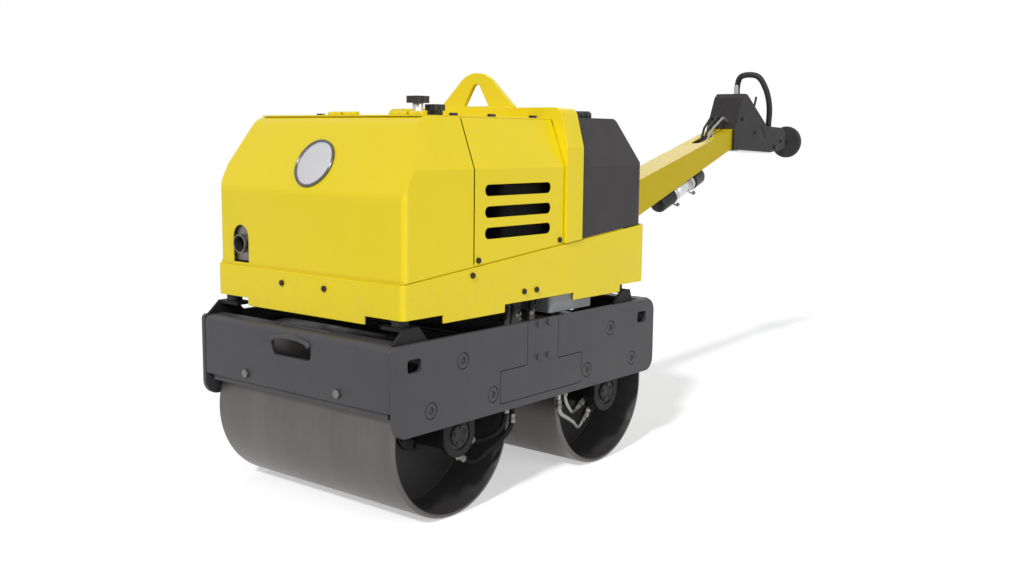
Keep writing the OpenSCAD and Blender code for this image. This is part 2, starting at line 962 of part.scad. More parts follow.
// Silencer with its tail pipe, which ends in front of the hood, and a shield round the pipe
module muffler() {
    can_r = 58;
    can_y = [-455, -370];
    tail_y = hood_front - 6;
    tail_r = 24;
    wall = 3;
    leg = 14;
    shield_y = hood_front + 10;
    shield_low = 12;
    shield_top = 52;
    elbow_r = 16;
    bend_y = -330;
    top = [-94, -260, 790];
    elbow = [
        [exhaust_x, can_y[1] - can_r / 2, exhaust_z],
        [exhaust_x, bend_y, exhaust_z],
        [exhaust_x, top.y, top.z],
        top
    ];
    color("silver") placed() difference() {
        union() {
            translate([exhaust_x, 0, exhaust_z]) {
                rod_y(can_y[0], can_y[1], can_r);
                rod_y(tail_y, can_y[0], tail_r);
            }
            for (y = [can_y[0] + leg * 2, can_y[1] - leg * 2])
                span([exhaust_x - leg, y - leg, deck_top], [exhaust_x + leg, y + leg, exhaust_z]);
            front_slab(shield_y, wall, box_outline(
                [exhaust_x - can_r, skirt_top + shield_low],
                [exhaust_x + can_r, exhaust_z + shield_top], plate_t));
            tube(bend(elbow, elbow_r * 1.5), elbow_r, [0, 0.3, 1], 12);
        }
        translate([exhaust_x, 0, exhaust_z]) rod_y(tail_y - cut, can_y[0] + can_r / 2, tail_r - wall);
    }
}

module air_filter() {
    can_r = 56;
    can_h = 150;
    fin_edge = 95;
    color("black") placed() translate([fin_edge + can_r, crank_y, deck_top + case_h])
        cylinder(h = can_h, r = can_r);
}

filler_at = [40, -76];

// Fuel tank with a filler neck that reaches up to the roof
module fuel_tank() {
    high_x = 300;
    front = -104;
    height = 290;
    neck_r = 20;
    color("black") placed() {
        translate([0, 0, deck_top]) linear_extrude(height)
            polygon(box_outline([0, front], [high_x, hoop_front - plate_t], plate_t * 2));
        translate([filler_at.x, filler_at.y, deck_top + height])
            cylinder(h = top_z - deck_top - height, r = neck_r);
    }
}

// Body panels

// Height of the skirt's upper edge at y
function skirt_line(y) = skirt_top + (y + skirt_front) * tan(skirt_slope);

// Half width of the side walls at height z
function wall_x(z) = panel_x - lean * (z - kink_z) / (top_z - kink_z);

// The side walls' section up to height z
function wall_section(z) = mirrored([[panel_x, 0], [panel_x, kink_z], [wall_x(z), z]]);

module skirt() {
    lip_x = 215;
    side_lips = [[-367, -140], [153, 377]];
    color("gold") placed() difference() {
        translate([0, 0, skirt_low - lip_h])
            linear_extrude(skirt_line(skirt_rear) - skirt_low + lip_h + cut)
                polygon(skirt_plan(0));
        linear_extrude(far) polygon(skirt_plan(skirt_t));
        side_slab(-skirt_x - cut, (skirt_x + cut) * 2, [
            [-skirt_front - cut, skirt_line(-skirt_front - cut)],
            [skirt_rear + cut, skirt_line(skirt_rear + cut)],
            [skirt_rear + cut, far],
            [-skirt_front - cut, far]
        ]);
        difference() {
            span([-far, -far, 0], [far, far, skirt_low]);
            span([-lip_x, -skirt_front - cut, 0], [lip_x, -skirt_front + corner_r, skirt_low + cut]);
            for (lip = side_lips)
                span([-skirt_x - cut, lip[0], 0], [skirt_x + cut, lip[1], skirt_low + cut]);
        }
    }
}

// The hood's outline seen from the side; extra opens it below and behind
function hood_side(extra) =
    rounded([
        [hood_front, skirt_line(hood_front) + seam - extra],
        [hood_split + extra, skirt_line(hood_split) + seam - extra],
        [hood_split + extra, top_z],
        [hood_front + hood_lean, top_z],
        [hood_front, hood_fold]
    ], [0, 0, 0, corner_r, corner_r]);

// The hood's outline seen from above; extra opens it behind
function hood_plan(extra) =
    rounded([
        [-panel_x, hood_front],
        [panel_x, hood_front],
        [panel_x, hood_split + extra],
        [-panel_x, hood_split + extra]
    ], [edge_r, edge_r, 0, 0]);

hinge_r = 6;
hinge_pin = 3;
hinge_len = 24;
hinge_leaf = 26;
hinge_x = [150, 90];
hinge_y = hood_split + seam;
hinge_z = roof_z + touch + hinge_r;

// One hinge knuckle centred on x, with a leaf towards +y or -y that is t thick
module knuckle(x, side, t) {
    y = side > 0 ? hinge_y : hinge_y - hinge_leaf;
    leaf_top = hinge_z - hinge_r + sheet_t;
    difference() {
        union() {
            translate([0, hinge_y, hinge_z]) rod_x(x - hinge_len / 2, x + hinge_len / 2, hinge_r);
            span([x - hinge_len / 2, y, leaf_top - t], [x + hinge_len / 2, y + hinge_leaf, leaf_top]);
        }
        translate([0, hinge_y, hinge_z]) rod_x(x - hinge_len, x + hinge_len, hinge_pin + run);
    }
}

module hood() {
    flange_y = hood_front + hood_lean + flange_gap;
    slot_x = 31;
    slot_top = 49;
    extra = sheet_t * 2;
    arch = exhaust_z + slot_top - slot_x;
    color("gold") placed() {
        difference() {
            union() {
                block(wall_section(top_z), hood_side(0), hood_plan(0));
                span([-flange_x, flange_y, top_z - touch], [flange_x, hood_split, roof_z]);
            }
            block(inset(wall_section(top_z), sheet_t), inset(hood_side(extra), sheet_t),
                inset(hood_plan(extra), sheet_t));
            front_slab(hood_front - cut, sheet_t + cut * 2, concat(
                [[exhaust_x - slot_x, skirt_top - cut], [exhaust_x + slot_x, skirt_top - cut]],
                arc([exhaust_x, arch], slot_x, 0, 180, 12)));
        }
        for (s = [-1, 1], x = hinge_x) knuckle(s * (x + hinge_len / 2 + touch), -1, sheet_t * 1.7);
    }
}

// A plain round plate with a raised rim on the hood's sloped front
module badge() {
    badge_r = 64;
    badge_up = 67;
    badge_t = 3;
    rim_w = 5;
    slope = atan2(hood_lean, top_z - hood_fold);
    color("black") placed()
        translate([0, hood_front, hood_fold]) rotate([-slope, 0, 0])
            translate([0, 0, badge_up / cos(slope)]) rotate([90, 0, 0]) difference() {
                cylinder(h = badge_t, r = badge_r);
                translate([0, 0, badge_t - cut]) cylinder(h = cut * 2, r = badge_r - rim_w);
            }
}

module side_panel() {
    slot_y = [-215, 48];
    slot_z = [795, 742, 690];
    slot_h = 28;
    ledge = 232;
    side = [
        [panel_front, skirt_line(panel_front) + seam],
        [panel_rear, skirt_line(panel_rear) + seam],
        [panel_rear, far],
        [panel_front, far]
    ];
    plan = [[0, panel_front], [far, panel_front], [far, panel_rear], [0, panel_rear]];
    difference() {
        block(wall_section(top_z), side, plan);
        front_slab(-far, far * 2, inset(wall_section(top_z), sheet_t));
        span([-cut, -far, 0], [ledge, far, far]);
        for (z = slot_z)
            side_slab(0, far, box_outline([slot_y[0], z - slot_h / 2], [slot_y[1], z + slot_h / 2],
                slot_h / 2 - touch));
    }
}

module side_panel_right() {
    color("gold") placed() side_panel();
}

module side_panel_left() {
    color("gold") placed() mirror([1, 0, 0]) side_panel();
}

// The hoop's section; its top corners are rounded
hoop_edges = mirrored([[hoop_x, 0], [hoop_x, hoop_kink], [hoop_x - hoop_lean, roof_top]]);
hoop_section = rounded(hoop_edges, [0, 0, plate_t * 2, plate_t * 2, 0, 0]);

// The roof: a flat sheet, and a hoop that stands on the deck
module roof() {
    hoop_w = hoop_rear - hoop_front;
    color("gold") placed() {
        span([-flange_x, panel_front, roof_z - sheet_t], [flange_x, hoop_front + sheet_t, roof_z]);
        difference() {
            intersection() {
                front_slab(hoop_front, hoop_w, hoop_section);
                side_slab(-far, far * 2, [
                    [hoop_front - cut, skirt_line(hoop_front - cut) + seam],
                    [hoop_rear + cut, skirt_line(hoop_rear + cut) + seam],
                    [hoop_rear + cut, far],
                    [hoop_front - cut, far]
                ]);
            }
            front_slab(hoop_front + sheet_t, hoop_w - sheet_t * 2, inset(hoop_section, sheet_t));
            front_slab(hoop_front - cut, hoop_w + cut * 2, inset(hoop_edges, hoop_deep));
        }
        both_sides()
            span([hoop_x - hoop_deep, hoop_front, deck_top],
                [hoop_x - hoop_deep + sheet_t * 2, hoop_rear, skirt_line(hoop_rear) + hoop_deep]);
    }
}

// Lifting eye: an upright plate across the hoop, with a rounded three-cornered hole
module lifting_eye() {
    eye_t = 15;
    eye_y = (hoop_front + hoop_rear) / 2;
    half = 134;
    toe = 5;
    apex_r = 88;
    apex = 98;
    slope_a = 42;
    hole_half = 46;
    hole_top = 66;
    hole_r = 16;
    hole_a = 30;
    color("gold") placed() translate([0, eye_y, roof_top + touch]) difference() {
        front_slab(-eye_t / 2, eye_t, concat(
            [[-half, toe], [-half, 0], [half, 0], [half, toe]],
            arc([0, apex - apex_r], apex_r, slope_a, 180 - slope_a, 12)));
        front_slab(-eye_t, eye_t * 2, concat(
            [[-hole_half, toe], [hole_half, toe]],
            arc([0, hole_top - hole_r], hole_r, hole_a, 180 - hole_a, 8)));
    }
}

module hood_hinges() {
    color("gray") placed() both_sides() {
        for (x = hinge_x) knuckle(x - hinge_len / 2 - touch, 1, sheet_t);
        translate([0, hinge_y, hinge_z])
            for (x = hinge_x) rod_x(x - hinge_len, x + hinge_len, hinge_pin);
    }
}

module body_bolts() {
    front_x = 78;
    front_z = 560;
    skirt_bolts = [[-265, 593], [-65, 534], [-14, 534]];
    panel_bolts = [[-241, 627], [87, 656]];
    roof_bolts = [-226, -82, 88];
    roof_bolt_x = 242;
    color("black") placed() both_sides() {
        translate([front_x, -skirt_front, front_z]) rotate([90, 0, 0]) bolt(bolt_m8, 0);
        for (b = skirt_bolts)
            translate([skirt_x, b.x, b.y]) rotate([0, 90, 0]) bolt(bolt_m8, 0);
        for (b = panel_bolts)
            translate([panel_x, b.x, b.y]) rotate([0, 90, 0]) bolt(bolt_m8, 0);
        for (y = roof_bolts)
            translate([roof_bolt_x, y, top_z + touch + sheet_t]) bolt(bolt_m12, 0);
    }
}

// Water tank with a filler neck, on a foot that stands on the deck
cap_at = [195, 352];
tank_wall = 5;

function tank_side(g) =
    inset(rounded([
        [tank_front, skirt_line(tank_front) + seam],
        [tank_rear, skirt_line(tank_rear) + seam],
        [tank_rear, tank_kink],
        [tank_rear - tank_lean, tank_top],
        [tank_front, tank_top]
    ], [0, 0, corner_r, corner_r / 2, 0]), g);

function tank_plan(g) =
    inset(rounded([
        [-panel_x, tank_front],
        [panel_x, tank_front],
        [panel_x, tank_rear],
        [-panel_x, tank_rear]
    ], [0, 0, corner_r / 2, corner_r / 2]), g);

module water_tank() {
    foot_x = 230;
    foot_in = 30;
    neck_r = 30;
    color("dimgray") placed() difference() {
        union() {
            block(wall_section(tank_top), tank_side(0), tank_plan(0));
            span([-foot_x, tank_front + foot_in, deck_top],
                [foot_x, tank_rear - foot_in, skirt_line(tank_front) + foot_in]);
        }
        block(inset(wall_section(tank_top), tank_wall), tank_side(tank_wall), tank_plan(tank_wall));
        translate([cap_at.x, cap_at.y, tank_top - tank_wall - cut])
            cylinder(h = tank_wall + cut * 2, r = neck_r);
    }
}

module water_cap() {
    cap_r = 42;
    cap_h = 20;
    rib_r = 4;
    ribs = 12;
    stem_r = 29;
    color("black") placed() translate([cap_at.x, cap_at.y, tank_top + touch]) {
        cylinder(h = cap_h, r = cap_r - rib_r);
        for (i = [0:ribs - 1])
            rotate([0, 0, 360 * i / ribs]) translate([cap_r - rib_r, 0, 0])
                cylinder(h = cap_h - rib_r, r = rib_r, $fn = 16);
        translate([0, 0, -tank_wall * 2]) cylinder(h = tank_wall * 2 + touch, r = stem_r);
    }
}

// Spray tap and fuel filler cap on the roof
tap_at = [40, -141];
tap_stem_r = 9;
tap_stem_low = 8;
tap_stem_top = 36;
roof_seat = roof_z + touch;

module tap_body() {
    base_r = 20;
    base_h = 6;
    neck_r = 14;
    color("silver") placed() translate([tap_at.x, tap_at.y, roof_seat])
        difference() {
            union() {
                cylinder(h = base_h, r = base_r);
                cylinder(h = tap_stem_top - touch, r = neck_r);
            }
            translate([0, 0, tap_stem_low - touch]) cylinder(h = tap_stem_top, r = tap_stem_r + run);
        }
}

// A four-lobed grip
module star(r, h) {
    lobes = 4;
    dip = r * 0.16;
    points = 48;
    linear_extrude(h) polygon([for (i = [0:points - 1])
        let (a = 360 * i / points, q = r - dip + dip * cos(lobes * a + 180))
        q * [cos(a), sin(a)]]);
}

module tap_knob() {
    knob_r = 30;
    knob_h = 18;
    color("black") placed() translate([tap_at.x, tap_at.y, roof_seat]) {
        translate([0, 0, tap_stem_low])
            cylinder(h = tap_stem_top - tap_stem_low + cut, r = tap_stem_r);
        translate([0, 0, tap_stem_top]) star(knob_r, knob_h);
    }
}

module filler_cap() {
    knob_r = 27;
    knob_h = 16;
    collar_r = 21;
    collar_h = 18;
    color("black") placed() translate([filler_at.x, filler_at.y, roof_seat]) {
        cylinder(h = collar_h + cut, r = collar_r);
        translate([0, 0, collar_h]) star(knob_r, knob_h);
    }
}

// Handle

ear_gap = 1;
ear_t = 12;
ear_x = beam_x + ear_gap;
bracket_x = ear_x + ear_t;

// Two ears on a base plate, with a stop bar below the beam
module handle_bracket() {
    ear_r = 26;
    base_t = 8;
    base_z = [pivot_z - 66, pivot_z + 40];
    stop_s = [10, 26];
    stop_deep = 14;
    stop = [for (p = turned([
        [stop_s[0], -beam_root / 2 - stop_deep],
        [stop_s[1], -beam_root / 2 - stop_deep],
        [stop_s[1], -beam_root / 2 - touch],
        [stop_s[0], -beam_root / 2 - touch]
    ], beam_rise)) p + [pivot_y, pivot_z]];
    color("dimgray") placed() difference() {
        union() {
            span([-bracket_x - ear_t, skirt_rear, base_z[0]],
                [bracket_x + ear_t, skirt_rear + base_t, base_z[1]]);
            for (x = [-bracket_x, ear_x])
                side_slab(x, ear_t, concat(
                    [[skirt_rear, base_z[1]], [skirt_rear, base_z[0]], stop[0], stop[1], stop[2]],
                    arc([pivot_y, pivot_z], ear_r, -10, 80, 8)));
            side_slab(-bracket_x, bracket_x * 2, stop);
        }
        translate([0, pivot_y, pivot_z]) rod_x(-bracket_x - cut, bracket_x + cut, pin_r + run);
    }
}

module handle_pin() {
    head_t = 6;
    head_r = pin_r + 5;
    color("silver") placed() translate([0, pivot_y, pivot_z]) {
        rod_x(-bracket_x - cut, bracket_x + cut, pin_r);
        for (x = [bracket_x + touch, -bracket_x - head_t - touch]) rod_x(x, x + head_t, head_r);
    }
}

// The beam's half depth at distance s from the pivot
function beam_half(s) = (beam_root + (beam_tip - beam_root) * s / beam_len) / 2;

// The beam's outline in its own frame: the pivot at the origin and the axis along +y
function beam_own(len) =
    concat(
        arc([0, 0], beam_root / 2, 90 + beam_taper, 270 - beam_taper, 16),
        [[len, -beam_half(len)], [len, beam_half(len)]]);

// The beam's outline in its place, moved inwards by g
function beam_outline(len, g) =
    [for (p = turned(inset(beam_own(len), g), beam_rise)) p + [pivot_y, pivot_z]];

// The place of a point of the beam's frame, s along its axis and h above it
function beam_point(x, s, h) =
    [x, pivot_y + s * cos(beam_rise) - h * sin(beam_rise), pivot_z + s * sin(beam_rise) + h * cos(beam_rise)];

beam_in = 26;

// A hollow beam with a pivot boss and a cable slot in its upper side
module handle_beam() {
    wall = 4;
    slot_x = 20;
    slot_s = [beam_len - 190, beam_len - 75];
    boss_r = 24;
    color("dimgray") placed() difference() {
        union() {
            difference() {
                side_slab(-beam_x, beam_w, beam_outline(beam_len + beam_in, 0));
                side_slab(-beam_x + wall, beam_w - wall * 2, beam_outline(beam_len + beam_in + wall * 2, wall));
            }
            translate([0, pivot_y, pivot_z]) rod_x(-beam_x, beam_x, boss_r);
        }
        translate([0, pivot_y, pivot_z]) rod_x(-beam_x - cut, beam_x + cut, pin_r + run);
        translate([0, pivot_y, pivot_z]) rotate([beam_rise, 0, 0])
            linear_extrude(beam_root)
                polygon(box_outline([-slot_x, slot_s[0]], [slot_x, slot_s[1]], slot_x - touch));
    }
}

// Document tube under the beam
tube_r = 30;
tube_s = [beam_len - 495, beam_len - 98];
cap_len = [118, 68];
tube_drop = 8;

// The children are drawn along +Y and moved to run along the beam's underside
module under_beam() {
    placed() translate([0, pivot_y, pivot_z]) rotate([beam_rise, 0, 0])
        translate([0, 0, -beam_root / 2]) rotate([beam_taper, 0, 0])
            translate([0, 0, -tube_drop - tube_r]) children();
}

module document_tube() {
    wall = 3;
    color("silver") under_beam() difference() {
        rod_y(tube_s[0] + cap_len[0], tube_s[1] - cap_len[1], tube_r);
        rod_y(tube_s[0], tube_s[1], tube_r - wall);
    }
}

// End caps of the document tube and the two bands that hang it on the beam
module tube_fittings() {
    over = 3;
    band = 16;
    band_t = 3;
    joint = [tube_s[0] + cap_len[0], tube_s[1] - cap_len[1]];
    color("black") under_beam() {
        rod_y(tube_s[0], joint[0] - touch, tube_r + over);
        rod_y(joint[1] + touch, tube_s[1], tube_r + over);
        for (y = [joint[0] + band, joint[1] - band * 2])
            difference() {
                union() {
                    rod_y(y, y + band, tube_r + band_t + touch);
                    span([-band / 2, y, 0], [band / 2, y + band, tube_r + tube_drop - touch]);
                }
                rod_y(y - cut, y + band + cut, tube_r + touch);
            }
    }
}

// The control head's outline from the side: its front, its sloped panel and its rear arm
head_points = [
    [0, -39], [310, -51], [head_len - 15, -39], [head_len, -29], [head_len - 2, 31], [head_len - 28, 47],
    [269, 52], [94, 170], [74, 172], [56, 156], [0, 31]
];
loop_lean = 24;
loop_pin = 7;
loop_at = [head_y + 318, head_z + 21];
lever_pin = 4;
lever_long = 118;
throttle_at = [head_y + 160, head_z + 92];
throttle_x = -22;
vibration_at = [head_y + 218, head_z + 58];
vibration_x = 12;

// A housing that is open below, with an open pocket round the foot of the control loop
module control_head() {
    inner_x = head_x - head_wall;
    bay_end = 271;
    pocket = [head_len - 155, head_len - 5];
    pocket_low = head_z - 42;
    inner = inset(head_points, head_wall);
    bay = concat(
        [[head_wall, -beam_tip], [bay_end, -beam_tip], [bay_end, inner[6].y]],
        [for (i = [6:10]) inner[i]]);
    sleeve_s = [beam_len - beam_tip, beam_len + beam_tip];
    sleeve = beam_half(beam_len - beam_tip / 2) + touch;
    slot = 7;
    throttle_slot = [46, 32];
    vibration_slot = [14, 34];
    color("dimgray") placed() difference() {
        translate([0, head_y, head_z]) side_slab(-head_x, head_w, head_points);
        translate([0, head_y, head_z]) side_slab(-inner_x, inner_x * 2, bay);
        translate([0, pivot_y, pivot_z]) rotate([beam_rise, 0, 0])
            span([-beam_x - touch, sleeve_s[0], -sleeve], [beam_x + touch, sleeve_s[1], sleeve]);
        span([-inner_x, head_y + pocket[0], pocket_low], [inner_x, head_y + pocket[1], far]);
        translate([0, loop_at.x, loop_at.y]) rod_x(-far, far, loop_pin + run);
        translate([0, throttle_at.x, throttle_at.y]) rod_x(-far, 0, lever_pin + run);
        translate([0, vibration_at.x, vibration_at.y]) rod_x(0, far, lever_pin + run);
        span([throttle_x - slot, throttle_at.x - throttle_slot[0], throttle_at.y - slot],
            [throttle_x + slot, throttle_at.x + throttle_slot[1], far]);
        span([vibration_x - slot, vibration_at.x - vibration_slot[0], vibration_at.y - slot],
            [vibration_x + slot, vibration_at.x + vibration_slot[1], far]);
        translate([0, 0, button_z]) rod_y(head_y + pocket[1] - cut, head_y + head_len + cut, rod_r + run);
    }
}

// The plate that closes the head from below
module head_base() {
    base_t = 4;
    from = 34;
    fall = (head_points[1].y - head_points[0].y) / head_points[1].x;
    low = head_points[0].y - touch;
    until = head_points[1].x;
    base_x = head_x - head_wall / 2;
    color("lightgray") placed() translate([0, head_y, head_z])
        side_slab(-base_x, base_x * 2, [
            [from, low + from * fall - base_t],
            [until, low + until * fall - base_t],
            [until, low + until * fall],
            [from, low + from * fall]
        ]);
}

// Cables from inside the beam, out through its slot and to the head's front face
module control_cables() {
    cable_r = 4.5;
    inside_x = [-12, 0, 12];
    outside_x = [-33, -7, 20];
    hole = [16, 67];
    face = [head_y, head_z] + hole;
    along = head_points[9] - head_points[10];
    out = [-along.y, along.x] / norm(along);
    hold = 34;
    color("black") placed()
        for (i = [0:2]) {
            near = face + out * hold;
            end = face + out * touch;
            tube(bend([
                beam_point(inside_x[i], beam_len - 170, 0),
                beam_point(inside_x[i], beam_len - 120, 30),
                [(inside_x[i] + outside_x[i]) / 2, near.x - hold * 2, near.y - hold * 1.2],
                [outside_x[i], near.x, near.y],
                [outside_x[i], end.x, end.y]
            ], cable_r * 3), cable_r, [1, 0, 0], 8);
        }
}

// The control loop's centreline, upright above its pivot
loop_points = rounded(
    [[-36, 0], [36, 0], [66, 150], [50, 250], [-50, 250], [-66, 150]],
    [14, 14, 60, 46, 46, 60], 6);

// The dead-man control loop, on a shaft through the head's side walls
module control_loop() {
    hub_r = 13;
    hub_x = 34;
    color("black") placed() translate([0, loop_at.x, loop_at.y]) {
        rotate([loop_lean, 0, 0])
            tube([for (p = loop_points) [p.x, 0, p.y]], loop_d / 2, [0, 1, 0], 10, true);
        rod_x(-hub_x, hub_x, hub_r);
        rod_x(-head_x, head_x, loop_pin);
    }
}

// A rounded button on a rod that slides in the arm's rear wall
module crash_button() {
    inside = 26;
    rim = 6;
    dome = 10;
    disc_r = button_d / 2;
    disc_y = button_y - disc_t;
    color("black") placed() translate([0, 0, button_z]) {
        rod_y(head_y + head_len - inside, disc_y + cut, rod_r);
        translate([0, disc_y, 0]) rotate([-90, 0, 0]) rotate_extrude() polygon(concat(
            [[0, 0], [disc_r - rim, 0]],
            arc([disc_r - rim, rim], rim, -90, 0, 4),
            arc([disc_r - rim, disc_t - dome], rim, 0, 70, 4),
            [[0, disc_t]]));
    }
}

// A flat hand lever on its own pin
module lever(x, at, pin_from, pin_to, wide, thick, tilt) {
    color("silver") placed() translate([0, at.x, at.y]) {
        rod_x(pin_from, pin_to, lever_pin);
        rod_x(x - thick, x + thick, lever_pin * 2);
        rotate([tilt, 0, 0]) side_slab(x - thick / 2, thick,
            box_outline([-wide / 2, 0], [wide / 2, lever_long], wide / 2 - touch));
    }
}

module throttle_lever() {
    wide = 20;
    thick = 5;
    lever(throttle_x, throttle_at, -head_x, throttle_x + thick, wide, thick, 0);
}

module vibration_lever() {
    wide = 9;
    thick = 5;
    tilt = -22;
    lever(vibration_x, vibration_at, vibration_x - thick, head_x, wide, thick, tilt);
}

side_plate_right();
side_plate_left();
front_plate();
rear_plate();
crossmember();
access_covers();
chassis_bolts();
drum_arms();
drive_motors();
motor_pipes();
axle_stubs();
front_drum();
front_hubs();
rear_drum();
rear_hubs();
scraper_holders();
scraper_blades();
spray_bars();
corner_posts();
buffers();
exciter_shaft();
exciter_pulley();
exciter_bearings();
drive_belt();
deck();
oil_tank();
hoses();
engine_block();
crankshaft();
crank_pulley();
muffler();
air_filter();
fuel_tank();
oil_pump();
skirt();
hood();
badge();
side_panel_right();
side_panel_left();
roof();
lifting_eye();
hood_hinges();
body_bolts();
water_tank();
water_cap();
tap_body();
tap_knob();
filler_cap();
handle_bracket();
handle_pin();
handle_beam();
document_tube();
tube_fittings();
control_cables();
control_head();
head_base();
control_loop();
crash_button();
throttle_lever();
vibration_lever();
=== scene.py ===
"""Looks, camera and light for the walk-behind double drum roller. Metres, the CAD's own frame."""

import math

import bmesh
import bpy
from mathutils import Matrix, Vector


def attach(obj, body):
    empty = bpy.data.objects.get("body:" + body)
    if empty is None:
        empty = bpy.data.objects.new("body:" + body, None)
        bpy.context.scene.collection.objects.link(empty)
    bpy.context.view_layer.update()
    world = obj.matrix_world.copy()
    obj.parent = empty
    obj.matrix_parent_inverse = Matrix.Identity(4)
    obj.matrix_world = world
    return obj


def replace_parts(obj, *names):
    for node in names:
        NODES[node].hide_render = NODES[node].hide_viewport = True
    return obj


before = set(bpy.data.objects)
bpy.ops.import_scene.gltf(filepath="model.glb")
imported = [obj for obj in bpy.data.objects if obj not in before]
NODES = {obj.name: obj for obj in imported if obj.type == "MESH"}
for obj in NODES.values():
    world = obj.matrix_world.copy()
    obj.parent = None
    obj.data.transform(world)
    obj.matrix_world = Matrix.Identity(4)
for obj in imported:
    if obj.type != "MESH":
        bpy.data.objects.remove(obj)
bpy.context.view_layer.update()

MID_Y = -0.7991414
DRUM_Y = {"front": MID_Y - 0.3125, "rear": MID_Y + 0.3125}
DRUM_R = 0.210

# Places and sizes of the CAD model that the pieces below sit on, in mm from the drums' midpoint
AXLE_Y, AXLE_Z = 312.5, 210
MEMBER_TOP, DECK_Z = 449, 515
SKIRT_FRONT, SKIRT_TOP, SKIRT_SLOPE = 502, 589, 5
HOOD_FRONT, HOOD_FOLD, HOOD_TOP = -494, 788, 970
EYE_Y = 143.5
PIVOT_Y, PIVOT_Z = 592, 622
BEAM_RISE, BEAM_LEN, BEAM_ROOT, BEAM_TIP = 17.4, 1010, 138, 69
TUBE_DROP = 38
HEAD_X = 61.0
LOOP_Y, LOOP_Z, LOOP_LEAN = 1555.783 + 318, 924.031 + 21, 24


def at(x, y, z):
    """A point given in mm from the midpoint of the drums, in the row frame in metres."""
    return Vector((x / 1000, y / 1000 + MID_Y, z / 1000))


# Materials

class Mat:
    """A node material with short calls for the nodes used here."""

    def __init__(self, name):
        self.m = bpy.data.materials.new(name)
        self.m.use_nodes = True
        self.t = self.m.node_tree
        self.t.nodes.clear()
        self.out = self.t.nodes.new("ShaderNodeOutputMaterial")
        self.p = self.t.nodes.new("ShaderNodeBsdfPrincipled")
        self.link(self.p.outputs[0], self.out.inputs[0])
        self.co = self.t.nodes.new("ShaderNodeTexCoord").outputs["Object"]

    def link(self, a, b):
        self.t.links.new(a, b)

    def put(self, value, socket):
        if hasattr(value, "is_output"):
            self.link(value, socket)
        elif isinstance(value, (tuple, list)) and len(value) == 3 and socket.type == "RGBA":
            socket.default_value = (*value, 1)
        else:
            socket.default_value = value

    def mapping(self, scale=(1, 1, 1), offset=(0, 0, 0), rotation=(0, 0, 0)):
        n = self.t.nodes.new("ShaderNodeMapping")
        self.link(self.co, n.inputs[0])
        n.inputs["Location"].default_value = offset
        n.inputs["Rotation"].default_value = rotation
        n.inputs["Scale"].default_value = scale
        return n.outputs[0]

    def noise(self, scale, detail=4, rough=0.55, vector=None, distort=0.0):
        n = self.t.nodes.new("ShaderNodeTexNoise")
        self.link(vector or self.co, n.inputs["Vector"])
        n.inputs["Scale"].default_value = scale
        n.inputs["Detail"].default_value = detail
        n.inputs["Roughness"].default_value = rough
        n.inputs["Distortion"].default_value = distort
        return n.outputs["Fac"]

    def voronoi(self, scale):
        n = self.t.nodes.new("ShaderNodeTexVoronoi")
        self.link(self.co, n.inputs["Vector"])
        n.inputs["Scale"].default_value = scale
        return n.outputs["Distance"]

    def ramp(self, value, stops):
        """Maps value through (position, level) stops to a grey level."""
        n = self.t.nodes.new("ShaderNodeValToRGB")
        self.link(value, n.inputs[0])
        e = n.color_ramp.elements
        while len(e) < len(stops):
            e.new(0.5)
        for item, (pos, level) in zip(e, stops):
            item.position = pos
            item.color = (level, level, level, 1)
        return n.outputs[0]

    def math(self, op, a, b=0.0, clamp=False):
        n = self.t.nodes.new("ShaderNodeMath")
        n.operation = op
        n.use_clamp = clamp
        self.put(a, n.inputs[0])
        self.put(b, n.inputs[1])
        return n.outputs[0]

    def mix(self, fac, a, b):
        n = self.t.nodes.new("ShaderNodeMix")
        n.data_type = "RGBA"
        self.put(fac, n.inputs[0])
        self.put(a, n.inputs[6])
        self.put(b, n.inputs[7])
        return n.outputs[2]

    def split(self, vector=None):
        n = self.t.nodes.new("ShaderNodeSeparateXYZ")
        self.link(vector or self.co, n.inputs[0])
        return n.outputs

    def pointiness(self, low, high):
        g = self.t.nodes.new("ShaderNodeNewGeometry")
        return self.ramp(g.outputs["Pointiness"], [(low, 0), (high, 1)])

    def bump(self, height, strength, distance, normal=None):
        n = self.t.nodes.new("ShaderNodeBump")
        n.inputs["Strength"].default_value = strength
        n.inputs["Distance"].default_value = distance
        self.link(height, n.inputs["Height"])
        if normal is not None:
            self.link(normal, n.inputs["Normal"])
        return n.outputs[0]

    def finish(self, color, rough, metallic=0.0, normal=None, coat=0.0, coat_rough=0.1, spec=0.5):
        self.put(color, self.p.inputs["Base Color"])
        self.put(rough, self.p.inputs["Roughness"])
        self.p.inputs["Metallic"].default_value = metallic
        self.p.inputs["Coat Weight"].default_value = coat
        self.p.inputs["Coat Roughness"].default_value = coat_rough
        self.p.inputs["Specular IOR Level"].default_value = spec
        if normal is not None:
            self.link(normal, self.p.inputs["Normal"])
        self.m.diffuse_color = (*color, 1) if isinstance(color, tuple) else (0.5, 0.5, 0.5, 1)
        return self.m


